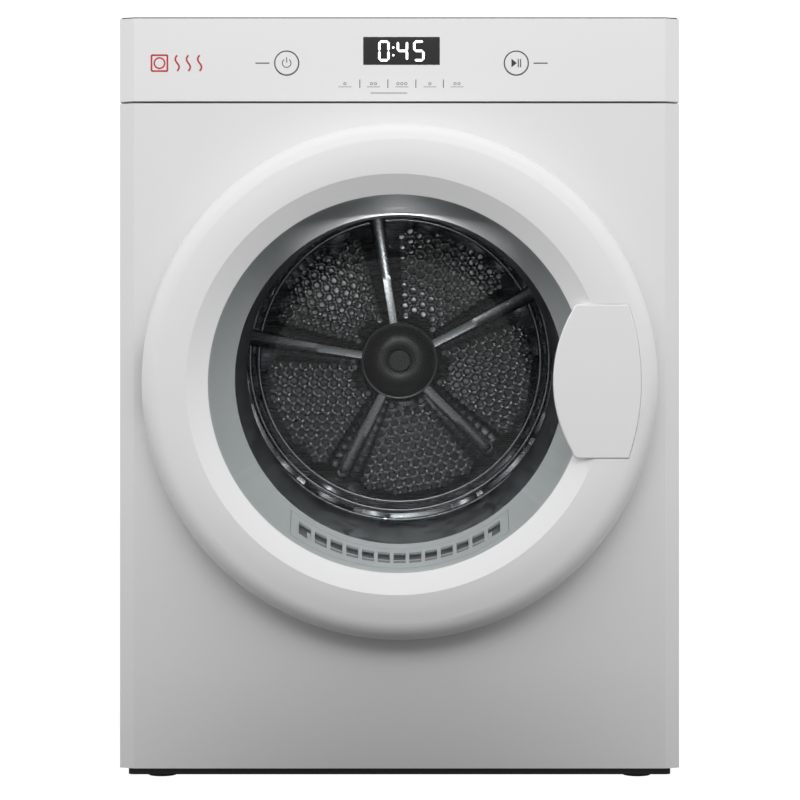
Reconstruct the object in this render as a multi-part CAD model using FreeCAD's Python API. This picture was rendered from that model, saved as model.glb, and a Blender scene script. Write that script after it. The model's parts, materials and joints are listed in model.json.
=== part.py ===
import FreeCAD, Part
import math
import os

# A front-loading vented clothes dryer, in millimetres.
# The origin is on the floor, under the middle of the machine. +X is to the right of a
# person facing the door, +Y goes from the door to the back, and +Z is up.

V = FreeCAD.Vector

# ---- overall sizes ----
overall_width = 600.0
overall_height = 818.4
overall_depth = 580.0          # handle face to the end of the exhaust spigot
door_proud = 42.4              # handle face in front of the front panel
spigot_proud = 21.6            # exhaust spigot behind the rear panel

# ---- sheet and walls ----
sheet = 1.0
wall = 2.5                     # plastic mouldings
gap = 0.3                      # between bodies that nearly touch
slip = 0.05                    # radial clearance of a running shaft
seam = 0.5                     # between cabinet panels
over = 1.0                     # how far a cut runs past a face

# ---- base and feet ----
foot_radius = 16.0
foot_disc = 5.3
foot_neck_radius = 10.0
foot_neck_top = 11.0
foot_stem_radius = 5.0
foot_stem_top = 44.0
foot_lift = 1.6                # how far a foot can be screwed in
foot_side_inset = 41.5
foot_front_inset = 48.0
foot_rear_inset = 40.0
base_bottom = foot_disc + foot_lift + 0.1
base_thick = 7.0
base_side_inset = 9.0
base_front_inset = 4.0
base_rear_inset = 8.0
base_corner = 6.0
foot_chamfer = 0.8
side_flange = 20.0
side_flange_fold = 6.0
side_window_margin = 60.0
worktop_corner = 2.0
boss_radius = 12.0

# ---- front panel and control panel ----
bevel_width = 15.5
bevel_depth = 6.0
return_depth = 24.0
fascia_height = 88.7
fascia_seam = 2.3
edge_trim_thick = 1.4
edge_trim_inset = 2.0
worktop_thick = 16.0
panel_mid_x = 2.1              # middle of the display and buttons
display_width = 82.0
display_height = 30.0
display_top_inset = 20.4
display_thick = 3.0
button_x = 122.9
button_top_inset = 48.0
button_radius = 12.2
button_gap = 0.6
button_travel = 1.5
button_flange_lap = 3.3         # flange behind the fascia, past the cap
button_flange_thick = 2.0
button_stem_radius = 3.0
button_stem_end = 9.0
switch_side = 10.0
switch_room = 0.5              # left between stem and switch when pressed
board_front = 16.0
board_thick = 1.6
board_half_width = 185.0
board_low = 20.0
board_high = 78.0
board_post_radius = 3.5
board_post_x_inset = 8.0
board_post_z_inset = 6.0
segment_block_inset = 3.0

# ---- door ----
door_side_margin = 26.0
door_top_margin = 24.0
ring_face_width = 73.5
glass_shift_x = -2.5
glass_shift_z = -2.5
crease_band = 20.5             # sloping band between the ring's face and the glass
ring_wall = 3.0
ring_back = 2.0                # ring's back in front of the front panel
ring_front = 41.8
slope_foot = 28.0              # where the slope meets the glass, in front of the panel
lip_back = 24.7
edge_width = 19.0              # rounded outer edge
ring_widest = 20.0
back_edge_width = 17.0
glass_thick = 4.0
glass_flange = 11.5
bowl_depth = 88.0
bowl_bottom_inset = 47.5
bowl_corner = 12.0
liner_thick = 3.0
liner_bore_margin = 5.5
liner_edge_gap = 0.3
seal_width = 8.0
seal_inset = 8.0
liner_screw_margin = 31.5      # screws from the glass edge
liner_screw_head = 1.4
liner_screws = 4
liner_screw_angle = 45.0

# ---- door handle ----
handle_half_height = 81.2
handle_reach = 38.7            # past the glass edge, towards the middle of the door
handle_corner_drop = 20.3      # how far the corners stand behind the arc's crown
handle_corner_radius = 7.0
handle_outer_inset = 19.5      # from the ring's outer edge
handle_thick = 6.4
handle_gap = 0.25
handle_boss_radius = 6.0
handle_boss_inset = 30.0
handle_boss_z = 48.0
handle_edge_round = 1.6

# ---- hinge ----
hinge_inset = 28.0             # pin axis from the ring's left edge
hinge_proud = 32.0             # pin axis in front of the front panel
hinge_pin_radius = 3.0
knuckle_radius = 6.0
arm_z = 30.0
arm_thick = 5.0
arm_margin = 23.5              # arm's end from the glass edge
arm_leg = 8.0
bracket_thick = 3.0
bracket_half_height = 55.0
bracket_margin = 17.5          # bracket's end from the glass edge
bracket_left = 20.0
leaf_half_height = 26.0
leaf_margin = 25.5             # leaf's foot from the glass edge
leaf_tab_margin = 11.5         # end of the tab on the liner from the glass edge
leaf_thick = 3.0
hinge_notch_half_height = 37.0
hinge_notch_depth = 5.0
strike_x_inset = 38.0
strike_width = 30.0
strike_height = 16.0
strike_thick = 1.7
catch_depth = 16.0

# ---- opening, collar and bulkhead ----
panel_hole_margin = 6.5
collar_mouth_margin = 4.5
collar_flange = 8.0
collar_flange_thick = 2.0
collar_depth = 50.0
collar_end_inset = 20.5
collar_end_rise = 5.5
throat_rise = 17.0
throat_inset = 30.5
bulkhead_front = 98.0
bulkhead_thick = 1.2
felt_inner = 45.0
felt_outer = 15.0
felt_thick = 6.5
lamp_half_width = 18.0
lamp_front = 20.0
lamp_back = 34.0
lamp_height = 20.0

# ---- lint filter ----
cap_half_width = 118.0
cap_front = 12.0
cap_back = 42.0
cap_gap = 0.4
cap_ribs = 13
cap_rib_width = 4.0
cap_margin = 7.0
filter_side_inset = 18.0        # from the cap's end to the frame's side
filter_front = 22.0
filter_back = 32.0
filter_bottom = 120.0
filter_bar = 8.0
filter_mesh_thick = 1.0
rail_lap = 3.0
rail_wall = 2.0
duct_wall = 2.0
plenum_low = 60.0
plenum_high = 172.0
blower_inlet_radius = 50.0

# ---- drum ----
drum_side_gap = 19.0
drum_rise = 30.0               # drum axis above the door's centre
drum_front = bulkhead_front + bulkhead_thick + felt_thick + gap
drum_wall = 1.0
drum_lip_width = 75.0
rear_room = 66.0               # from the drum's back to the rear panel's face
drum_back_thick = 2.0
drum_back_inset = 4.0
hub_radius = 46.0
hub_thick = 12.0
hub_dimple_radius = 13.0
hub_dimple_depth = 2.0
arm_count = 5
arm_first_angle = 27.0
arm_root_width = 15.0
arm_tip_width = 24.0
arm_height = 6.0
short_arm_inset = 112.0         # from the drum's wall to an arm's tip
long_arm_inset = 66.0
bead_insets = (98.0, 82.0)
bead_width = 7.0
bead_height = 3.0
lifter_count = 3
lifter_height = 55.0
lifter_base = 60.0
lifter_top = 22.0
lifter_margin = 24.0
lifter_first_angle = 30.0
shaft_radius = 10.0
shaft_flange_radius = 40.0
shaft_flange_thick = 4.0

# ---- rear duct, bearing and heater ----
rear_felt_width = 16.0
rear_felt_inset = 2.0
rear_duct_gap = 12.0            # from the drum's back edge to the rear bulkhead
bearing_flange_radius = 34.0
bearing_flange_thick = 4.0
bearing_tube_radius = 18.0
bearing_length = 26.0
pan_inset = 66.0                # from the drum's wall
pan_depth = 35.0
inlet_window_inner = 60.0
inlet_window_inset = 29.0       # from the pan's rim
channel_left = 40.0
channel_right = 200.0
channel_low = 60.0
channel_drop = 138.0            # channel's top below the drum's axis
heater_rod_radius = 5.0
heater_rods = (105.0, 135.0, 165.0, 195.0)
thermostat_radius = 12.0
thermostat_thick = 8.0
thermostat_rises = (15.0, 50.0)
heater_gap = 6.0
heater_depth = 22.0
heater_margin = 20.0
heater_plate = 2.0

# ---- drive ----
motor_side_inset = 150.0
motor_z = 115.0
motor_radius = 58.0
motor_front = 172.0
motor_length = 112.0
motor_bell = 12.0
motor_cavity_radius = 38.0
rotor_radius = 35.0
motor_shaft_radius = 6.0
pulley_radius = 8.0
pulley_width = 16.0
pulley_rim = 3.0
pulley_front = 296.0
belt_width = 10.0
belt_thick = 2.5
cradle_thick = 6.0
bracket_plate = 2.0
bracket_half_width = 70.0
idler_radius = 18.0
idler_width = 12.0
idler_axle_radius = 4.0
idler_along = 105.0            # along the belt run, from the motor pulley
idler_arm_length = 62.0
idler_arm_thick = 4.0
idler_arm_width = 14.0
capacitor_radius = 20.0
capacitor_height = 84.0
capacitor_side_inset = 50.0
capacitor_back = 40.0          # behind the motor's front
capacitor_cap = 6.0
roller_radius = 20.0
roller_angle = 45.0
roller_front = 112.0
roller_width = 16.0
axle_radius = 5.0

# ---- blower and exhaust ----
blower_radius = 88.0
blower_depth = 52.0
blower_mouth = 8.0              # outlet past the blower's round wall
wheel_radius = 74.0
wheel_margin = 6.0
wheel_blades = 24
wheel_blade_thick = 1.6
wheel_blade_depth = 16.0
spigot_radius = 50.0
spigot_wall = 2.0
spigot_x = -90.0
spigot_z = 76.0
spigot_flange = 6.0
spigot_flange_thick = 3.0
outlet_low = 28.0
outlet_high = 78.0

# ---- rear panel ----
louvre_rows = 8
louvre_half_length = 60.0
louvre_height = 5.0
louvre_pitch = 16.0
louvre_low = 420.0
louvre_x = 150.0
gland_side_inset = 75.0
gland_drop = 118.4             # below the top of the machine
gland_bore = 4.5
gland_radius = 11.0
gland_nut_radius = 14.0
gland_nut_thick = 4.0
gland_outside = 14.0
gland_inside = 10.0
screw_head_radius = 4.5
screw_head_thick = 2.4
screw_stem_radius = 1.9
screw_length = 7.0
screw_inset = 12.0
screw_rows = 4

# ---- places worked out from the sizes above ----
half_width = overall_width / 2
filter_half_width = cap_half_width - filter_side_inset
face_y = -overall_depth / 2 + door_proud
rear_y = overall_depth / 2 - spigot_proud
base_top = base_bottom + base_thick
fascia_top = overall_height - edge_trim_thick
fascia_bottom = fascia_top - fascia_height
panel_top = fascia_bottom - fascia_seam
worktop_bottom = overall_height - worktop_thick
door_radius = half_width - door_side_margin
door_z = panel_top - door_top_margin - door_radius
glass_radius = door_radius - ring_face_width
glass_z = door_z + glass_shift_z
hinge_x = -door_radius + hinge_inset
hinge_y = face_y - hinge_proud
hinge_room = ring_face_width - hinge_inset
arm_reach = hinge_room - arm_margin
leaf_reach = hinge_room - leaf_margin
leaf_lap = hinge_room - leaf_tab_margin
liner_screw_inset = ring_face_width - liner_screw_margin
drum_radius = half_width - sheet - drum_side_gap
drum_z = door_z + drum_rise
drum_front_y = face_y + drum_front
drum_rear_y = rear_y - rear_room
rear_bulkhead_y = drum_rear_y + rear_duct_gap
pan_radius = drum_radius - pan_inset
inlet_window_outer = pan_radius - inlet_window_inset
channel_high = drum_z - channel_drop
motor_x = half_width - motor_side_inset
capacitor_x = half_width - capacitor_side_inset
gland_x = half_width - gland_side_inset
gland_z = overall_height - gland_drop
bulkhead_y = face_y + bulkhead_front
collar_end_radius = glass_radius - collar_end_inset
collar_end_z = glass_z + collar_end_rise
throat_radius = glass_radius - throat_inset
throat_z = glass_z + throat_rise
filter_top = glass_z - glass_radius / 2   # inside the collar, which trims it


# ---- helpers ----
def box(x0, x1, y0, y1, z0, z1):
    return Part.makeBox(x1 - x0, y1 - y0, z1 - z0, V(x0, y0, z0))


def disc(x, z, radius, y0, y1):
    """A cylinder along Y."""
    return Part.makeCylinder(radius, y1 - y0, V(x, y0, z), V(0, 1, 0))


def ring(x, z, outer, inner, y0, y1):
    """A hollow cylinder along Y."""
    return disc(x, z, outer, y0, y1).cut(disc(x, z, inner, y0, y1))


def post(x, y, radius, z0, z1):
    """A cylinder along Z."""
    return Part.makeCylinder(radius, z1 - z0, V(x, y, z0), V(0, 0, 1))


def joined(shapes):
    shape = shapes[0]
    for other in shapes[1:]:
        shape = shape.fuse(other)
    return shape.removeSplitter()


def prism_z(points, z0, z1):
    """A polygon in X and Y, drawn up from z0 to z1."""
    corners = [V(x, y, z0) for x, y in points]
    face = Part.Face(Part.makePolygon(corners + corners[:1]))
    return face.extrude(V(0, 0, z1 - z0))


def prism_y(points, y0, y1):
    """A polygon in X and Z, drawn back from y0 to y1."""
    corners = [V(x, y0, z) for x, z in points]
    face = Part.Face(Part.makePolygon(corners + corners[:1]))
    return face.extrude(V(0, y1 - y0, 0))


def turned(x, z, start, moves):
    """A solid turned about the Y line through x, z.

    Points are (radius, y). A move is a point, for a straight edge, or a pair of
    points, for an arc through the first to the second.
    """
    edges = []
    here = V(x + start[0], start[1], z)
    first = here
    for move in moves:
        if isinstance(move[0], tuple):
            middle = V(x + move[0][0], move[0][1], z)
            there = V(x + move[1][0], move[1][1], z)
            edges.append(Part.Arc(here, middle, there).toShape())
        else:
            there = V(x + move[0], move[1], z)
            edges.append(Part.makeLine(here, there))
        here = there
    edges.append(Part.makeLine(here, first))
    face = Part.Face(Part.Wire(edges))
    return face.revolve(V(x, 0, z), V(0, 1, 0), 360)


def tapered(x0, z0, radius0, y0, x1, z1, radius1, y1):
    """A round solid whose ends may have different centres and radii."""
    circles = []
    for x, z, radius, y in ((x0, z0, radius0, y0), (x1, z1, radius1, y1)):
        circles.append(Part.Wire(Part.makeCircle(radius, V(x, y, z), V(0, 1, 0))))
    return Part.makeLoft(circles, True, True)


def round_belt(big, big_radius, small, small_radius, y0, y1):
    """The solid inside a loop stretched round two circles given in X and Z."""
    dx = small[0] - big[0]
    dz = small[1] - big[1]
    length = math.hypot(dx, dz)
    lean = math.acos((big_radius - small_radius) / length)
    heading = math.atan2(dz, dx)
    edges = []
    ends = []
    for side in (1, -1):
        angle = heading + side * lean
        nx = math.cos(angle)
        nz = math.sin(angle)
        ends.append((V(big[0] + nx * big_radius, y0, big[1] + nz * big_radius),
                     V(small[0] + nx * small_radius, y0, small[1] + nz * small_radius)))
    ux = dx / length
    uz = dz / length
    far_big = V(big[0] - ux * big_radius, y0, big[1] - uz * big_radius)
    far_small = V(small[0] + ux * small_radius, y0, small[1] + uz * small_radius)
    edges.append(Part.makeLine(ends[0][0], ends[0][1]))
    edges.append(Part.Arc(ends[0][1], far_small, ends[1][1]).toShape())
    edges.append(Part.makeLine(ends[1][1], ends[1][0]))
    edges.append(Part.Arc(ends[1][0], far_big, ends[0][0]).toShape())
    return Part.Face(Part.Wire(edges)).extrude(V(0, y1 - y0, 0))


def save(name, shape):
    """Write one node, and stop if it holds anything but sound solids."""
    if not shape.isValid() or not shape.Solids:
        raise ValueError(name + " is not a sound solid")
    if shape.ShapeType == "Compound" and len(shape.Solids) == 1:
        shape = shape.Solids[0]
    shape.exportStep("parts/" + name + ".step")
    print(name, len(shape.Solids), round(shape.Volume))


# ---- base and feet ----
def foot_places():
    left = -half_width + foot_side_inset
    front = face_y + foot_front_inset
    back = rear_y - foot_rear_inset
    return (("front_left", left, front), ("front_right", -left, front),
            ("rear_left", left, back), ("rear_right", -left, back))


def base_pan():
    side = half_width - base_side_inset
    plate = box(-side, side, face_y + base_front_inset, rear_y - base_rear_inset, base_bottom, base_top)
    upright = [edge for edge in plate.Edges if abs(edge.BoundBox.ZLength - base_thick) < 0.01]
    plate = plate.makeFillet(base_corner, upright)
    pieces = [plate]
    for name, x, y in foot_places():
        pieces.append(post(x, y, boss_radius, base_top, foot_stem_top + 1))
    pan = joined(pieces)
    for name, x, y in foot_places():
        pan = pan.cut(post(x, y, foot_neck_radius + seam, base_bottom, foot_neck_top + foot_lift + slip))
        pan = pan.cut(post(x, y, foot_stem_radius + slip, base_bottom, foot_stem_top + 1))
    return pan


def levelling_foot(x, y):
    foot = post(x, y, foot_radius, 0, foot_disc)
    foot = foot.makeChamfer(foot_chamfer, [edge for edge in foot.Edges if edge.BoundBox.ZLength < 0.01])
    neck = post(x, y, foot_neck_radius, foot_disc, foot_neck_top)
    stem = post(x, y, foot_stem_radius, foot_neck_top, foot_stem_top - foot_lift)
    return joined([foot, neck, stem])


# ---- cabinet ----
def front_outline(inset):
    """The front's plan: a flat middle, a bevel at each side and a return."""
    flat = half_width - bevel_width - inset * 0.4
    side = half_width - inset
    return [(-side, face_y + return_depth), (-side, face_y + bevel_depth + inset * 0.4),
            (-flat, face_y + inset), (flat, face_y + inset),
            (side, face_y + bevel_depth + inset * 0.4), (side, face_y + return_depth)]


def front_shell(thick, z0, z1):
    """A panel with bevelled sides, open at the back."""
    inner = front_outline(thick)
    inner[0] = (inner[0][0], face_y + return_depth + 1)
    inner[-1] = (inner[-1][0], face_y + return_depth + 1)
    outer = prism_z(front_outline(0), z0, z1)
    return outer.cut(prism_z(inner, z0 + thick, z1 - thick))


def front_panel():
    shell = front_shell(sheet, base_top, panel_top)
    hole_radius = glass_radius + panel_hole_margin
    shell = shell.cut(disc(glass_shift_x, glass_z, hole_radius, face_y - 1, face_y + sheet + 1))
    for side in (1, -1):
        z = door_z + side * arm_z
        left = hinge_x + arm_reach - arm_leg - seam
        shell = shell.cut(box(left, left + arm_leg + 2 * seam, face_y - 1, face_y + sheet + 1,
                              z - arm_thick / 2 - seam, z + arm_thick / 2 + seam))
    return shell


def control_fascia():
    shell = front_shell(wall, fascia_bottom, fascia_top)
    z1 = fascia_top - display_top_inset + seam
    x0 = panel_mid_x - display_width / 2
    shell = shell.cut(box(x0, x0 + display_width, face_y - 1, face_y + wall + 1, z1 - display_height, z1))
    for side in (1, -1):
        shell = shell.cut(disc(panel_mid_x + side * button_x, fascia_top - button_top_inset,
                               button_radius + button_gap, face_y - 1, face_y + wall + 1))
    return shell


def display_window():
    z1 = fascia_top - display_top_inset + seam
    x0 = panel_mid_x - display_width / 2
    return box(x0, x0 + display_width, face_y, face_y + display_thick, z1 - display_height, z1)


def push_button(side):
    x = panel_mid_x + side * button_x
    z = fascia_top - button_top_inset
    back = face_y + wall + slip
    cap = disc(x, z, button_radius, face_y - 0.4, back)
    rim = [edge for edge in cap.Edges if edge.BoundBox.YMax < face_y and edge.BoundBox.YLength < 0.01]
    cap = cap.makeFillet(0.6, rim)
    flange = disc(x, z, button_radius + button_flange_lap, back, back + button_flange_thick)
    stem = disc(x, z, button_stem_radius, back + button_flange_thick, face_y + button_stem_end)
    return joined([cap, flange, stem])


def control_board():
    z0 = fascia_bottom + board_low
    z1 = fascia_bottom + board_high
    front = face_y + board_front
    pieces = [box(-board_half_width, board_half_width, front, front + board_thick, z0, z1)]
    post_x = board_half_width - board_post_x_inset
    for x in (-post_x, post_x):
        for z in (z0 + board_post_z_inset, z1 - board_post_z_inset):
            pieces.append(disc(x, z, board_post_radius, face_y + wall, front))
    for side in (1, -1):
        x = panel_mid_x + side * button_x
        z = fascia_top - button_top_inset
        half = switch_side / 2
        switch_y = face_y + button_stem_end + button_travel + switch_room
        pieces.append(box(x - half, x + half, switch_y, front, z - half, z + half))
    top = fascia_top - display_top_inset
    half = display_width / 2 - segment_block_inset
    pieces.append(box(panel_mid_x - half, panel_mid_x + half, face_y + display_thick, front,
                      top - display_height + segment_block_inset, top - segment_block_inset))
    pieces.append(box(-60, -20, front + board_thick, front + board_thick + 22, z0 + 4, z0 + 34))
    pieces.append(box(10, 34, front + board_thick, front + board_thick + 16, z0 + 6, z0 + 30))
    return joined(pieces)


def side_panel(side):
    """A sheet with inward flanges at its foot, top, front and back."""
    flange = side_flange
    y0 = face_y + return_depth + seam
    y1 = rear_y - sheet
    outer = box(half_width - flange, half_width, y0, y1, base_top, worktop_bottom)
    inner = box(half_width - flange - 1, half_width - sheet, y0 + sheet, y1 - sheet,
                base_top + sheet, worktop_bottom - sheet)
    panel = outer.cut(inner)
    window = box(half_width - flange - 1, half_width - flange + side_flange_fold, y0 + sheet, y1 + 1,
                 base_top + side_window_margin, worktop_bottom - side_window_margin)
    panel = panel.cut(window)
    if side < 0:
        panel = panel.mirror(V(0, 0, 0), V(1, 0, 0))
    return panel


def rear_screw_places():
    x = half_width - screw_inset
    low = base_top + screw_inset
    high = worktop_bottom - screw_inset
    places = []
    for step in range(screw_rows):
        z = low + (high - low) * step / (screw_rows - 1)
        places.append((-x, z))
        places.append((x, z))
    return places


def rear_panel():
    panel = box(-half_width + seam, half_width - seam, rear_y - sheet, rear_y, base_top, worktop_bottom - seam)
    panel = panel.cut(disc(spigot_x, spigot_z, spigot_radius + seam, rear_y - 5, rear_y + 5))
    panel = panel.cut(disc(gland_x, gland_z, gland_radius, rear_y - 5, rear_y + 5))
    for row in range(louvre_rows):
        z = louvre_low + row * louvre_pitch
        for x in (-louvre_x, louvre_x):
            panel = panel.cut(box(x - louvre_half_length, x + louvre_half_length, rear_y - 5, rear_y + 5,
                                  z, z + louvre_height))
    for x, z in rear_screw_places():
        panel = panel.cut(disc(x, z, screw_stem_radius, rear_y - 5, rear_y + 5))
    return panel


def cabinet_screws():
    screws = []
    for x, z in rear_screw_places():
        head = disc(x, z, screw_head_radius, rear_y, rear_y + screw_head_thick)
        stem = disc(x, z, screw_stem_radius, rear_y - sheet, rear_y)
        screws.append(joined([head, stem]))
    return Part.makeCompound(screws)


def worktop():
    board = box(-half_width, half_width, face_y + return_depth + seam, rear_y, worktop_bottom, overall_height)
    upright = [edge for edge in board.Edges if abs(edge.BoundBox.ZLength - worktop_thick) < 0.01]
    return board.makeFillet(worktop_corner, upright)


def worktop_edge_trim():
    plan = front_outline(edge_trim_inset)
    return prism_z(plan, fascia_top, overall_height)


def cable_gland():
    tube = disc(gland_x, gland_z, gland_radius, rear_y - gland_inside, rear_y + gland_outside)
    inside = disc(gland_x, gland_z, gland_nut_radius, rear_y - sheet - gland_nut_thick, rear_y - sheet)
    outside = disc(gland_x, gland_z, gland_nut_radius, rear_y, rear_y + gland_nut_thick)
    body = joined([tube, inside, outside])
    return body.cut(disc(gland_x, gland_z, gland_bore, rear_y - gland_inside - 1, rear_y + gland_outside + 1))


# ---- opening ----
def collar_solid(extra):
    """The collar's tapering inside, grown by extra all round."""
    return tapered(glass_shift_x, glass_z, glass_radius + collar_mouth_margin + extra, face_y + sheet,
                   0, collar_end_z, collar_end_radius + extra, face_y + collar_depth)


def cap_region(clearance):
    """The block that the lint filter's cap is cut from."""
    half = cap_half_width - clearance
    return box(-half, half, face_y + cap_front + clearance, face_y + cap_back - clearance,
               base_top, collar_end_z)


def lamp_region(clearance):
    half = lamp_half_width - clearance
    top = glass_z + glass_radius + lamp_height
    return box(-half, half, face_y + lamp_front + clearance, face_y + lamp_back - clearance, glass_z, top)


def opening_collar():
    cone = collar_solid(wall).cut(collar_solid(0))
    radius = glass_radius + collar_mouth_margin
    flange = ring(glass_shift_x, glass_z, radius + collar_flange, radius,
                  face_y + sheet, face_y + sheet + collar_flange_thick)
    collar = joined([cone, flange])
    return collar.cut(cap_region(0)).cut(lamp_region(0))


def drum_lamp():
    lens = collar_solid(wall).cut(collar_solid(0)).common(lamp_region(gap))
    top = glass_z + glass_radius + lamp_height
    housing = box(-lamp_half_width - 3, lamp_half_width + 3, face_y + lamp_front - 3, face_y + lamp_back + 3,
                  glass_z + collar_end_radius, top).cut(collar_solid(wall))
    return joined([lens, housing])


def front_bulkhead():
    plate_back = bulkhead_y + bulkhead_thick
    side = half_width - sheet - seam
    plate = box(-side, side, bulkhead_y, plate_back, base_top + sheet, fascia_bottom - 10)
    neck_front = face_y + collar_depth + gap
    outer = tapered(0, collar_end_z, collar_end_radius + 2 + bulkhead_thick, neck_front,
                    0, throat_z, throat_radius + bulkhead_thick, bulkhead_y)
    inner = tapered(0, collar_end_z, collar_end_radius + 2, neck_front,
                    0, throat_z, throat_radius, bulkhead_y)
    plate = plate.cut(disc(0, throat_z, throat_radius, bulkhead_y - 1, plate_back + 1))
    plate = joined([plate, outer.cut(inner)])
    plate = plate.cut(disc(motor_x, motor_z, blower_inlet_radius, bulkhead_y - 1, plate_back + 1))
    return plate


def front_felt_seal():
    y0 = bulkhead_y + bulkhead_thick
    return ring(0, drum_z, drum_radius - felt_outer, drum_radius - felt_inner, y0, y0 + felt_thick)


# ---- lint filter and its duct ----
def lint_filter():
    cap = collar_solid(wall).cut(collar_solid(0)).common(cap_region(cap_gap))
    z_low = glass_z - glass_radius - 10
    windows_half = cap_half_width - cap_margin
    pitch = 2 * windows_half / cap_ribs
    for step in range(cap_ribs):
        x0 = -windows_half + step * pitch + cap_rib_width / 2
        cap = cap.cut(box(x0, x0 + pitch - cap_rib_width, face_y + cap_front + 8, face_y + cap_back - 6,
                          z_low, collar_end_z))
    y0 = face_y + filter_front
    y1 = face_y + filter_back
    top = filter_top
    frame = box(-filter_half_width, filter_half_width, y0, y1, filter_bottom, top)
    frame = frame.cut(box(-filter_half_width + filter_bar, filter_half_width - filter_bar, y0 - 1, y1 + 1,
                          filter_bottom + filter_bar, top))
    middle = (y0 + y1) / 2
    mesh = box(-filter_half_width + filter_bar, filter_half_width - filter_bar, middle,
               middle + filter_mesh_thick, filter_bottom + filter_bar, top)
    frame = joined([frame, mesh]).cut(collar_solid(wall))
    return joined([cap, frame])


def lint_duct():
    side = cap_half_width + 1
    front = face_y + cap_front - 0.5
    back = face_y + cap_back + 0.5
    low = filter_bottom - 2
    chimney = box(-side - duct_wall, side + duct_wall, front - duct_wall, back + duct_wall, low, filter_top)
    plenum_right = motor_x + blower_inlet_radius + 10
    plenum = box(-side - duct_wall, plenum_right + duct_wall, front - duct_wall, bulkhead_y,
                 plenum_low, plenum_high)
    inner_chimney = box(-side, side, front, back, low, filter_top + over)
    inner_plenum = box(-side, plenum_right, front, bulkhead_y - duct_wall,
                       plenum_low + duct_wall, plenum_high - duct_wall)
    duct = joined([chimney, plenum])
    duct = duct.cut(inner_plenum).cut(inner_chimney)
    duct = duct.cut(disc(motor_x, motor_z, blower_inlet_radius, bulkhead_y - 10, bulkhead_y + 1))
    rails = []
    y0 = face_y + filter_front - gap
    y1 = face_y + filter_back + gap
    for hand in (1, -1):
        x0 = filter_half_width - rail_lap
        rail = box(x0, side, y0 - rail_wall, y1 + rail_wall, low, plenum_high + 20)
        rail = rail.cut(box(x0 - 1, filter_half_width + gap, y0, y1, filter_bottom - gap, plenum_high + 21))
        if hand < 0:
            rail = rail.mirror(V(0, 0, 0), V(1, 0, 0))
        rails.append(rail)
    return joined([duct] + rails).cut(collar_solid(wall))


# ---- door ----
def ring_solid(thick):
    """The door ring's outside, or its hollow when thick is more than 0."""
    front = face_y - ring_front + thick
    back = face_y - ring_back
    widest = door_radius - thick
    widest_y = face_y - ring_widest
    edge = door_radius - edge_width
    back_edge = door_radius - back_edge_width - thick * 0.5
    crown = edge - 14.0
    # each rounded corner is an arc whose middle lies on a circle's 45 degree point
    bend = 1 - math.cos(math.pi / 4)
    front_mid = (widest - (widest - edge) * bend, front + 0.8 + (widest_y - front - 0.8) * bend)
    # the back corner is flatter, so that it clears the front panel as the door swings
    back_bend = 0.4
    back_mid = (widest - (widest - back_edge) * back_bend, back - (back - widest_y) * back_bend)
    return turned(0, door_z, (0, front + 1.6),
                  [(glass_radius + crease_band - 4, front + 1.6),
                   ((crown, front), (edge, front + 0.8)),
                   (front_mid, (widest, widest_y)),
                   (back_mid, (back_edge, back)),
                   (0, back)])


def door_ring():
    body = ring_solid(0)
    hollow = ring_solid(ring_wall)
    hollow = hollow.common(disc(0, door_z, door_radius, face_y - ring_front, face_y))
    lip_y = face_y - lip_back
    keep = turned(0, door_z, (0, face_y - ring_front - 1),
                  [(glass_radius + crease_band + 3, face_y - ring_front - 1),
                   (glass_radius + crease_band + 3, face_y - ring_front + 5),
                   (glass_radius + 13.5, lip_y), (0, lip_y)])
    hollow = hollow.cut(keep)
    mouth = disc(0, door_z, door_radius - back_edge_width - 3, face_y - ring_back - 4, face_y)
    body = body.cut(hollow).cut(mouth)
    slope_front = glass_radius + crease_band + 2.5
    step = (slope_front - glass_radius) / (ring_front - slope_foot)
    cone = tapered(glass_shift_x, glass_z, slope_front + step * 1.0, face_y - ring_front - 1.0,
                   glass_shift_x, glass_z, glass_radius, face_y - slope_foot)
    bore = disc(glass_shift_x, glass_z, glass_radius, face_y - slope_foot, face_y)
    body = body.cut(cone).cut(bore)
    body = body.cut(handle_solid(handle_gap, face_y - door_proud - 5, face_y - door_proud + handle_thick))
    notch = box(-door_radius - 5, hinge_x, hinge_y + hinge_notch_depth, face_y,
                door_z - hinge_notch_half_height, door_z + hinge_notch_half_height)
    return body.cut(notch)


def door_glass():
    lip_y = face_y - lip_back
    back = face_y + bowl_depth
    bottom = glass_radius - bowl_bottom_inset
    slope = (glass_radius - 0.5 - bottom) / (lip_back + bowl_depth - bowl_corner)
    return turned(glass_shift_x, glass_z, (0, back),
                  [(bottom - bowl_corner, back),
                   ((bottom - bowl_corner * 0.34, back - bowl_corner * 0.26), (bottom, back - bowl_corner)),
                   (glass_radius - 0.5, lip_y + glass_thick),
                   (glass_radius + glass_flange, lip_y + glass_thick),
                   (glass_radius + glass_flange, lip_y),
                   (glass_radius - 0.5 - glass_thick + slope * glass_thick, lip_y),
                   (bottom - glass_thick, back - bowl_corner),
                   ((bottom - glass_thick - bowl_corner * 0.22, back - glass_thick - bowl_corner * 0.2),
                    (bottom - bowl_corner, back - glass_thick)),
                   (0, back - glass_thick)])


def liner_screw_angles():
    return [liner_screw_angle + 360.0 / liner_screws * step for step in range(liner_screws)]


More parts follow.
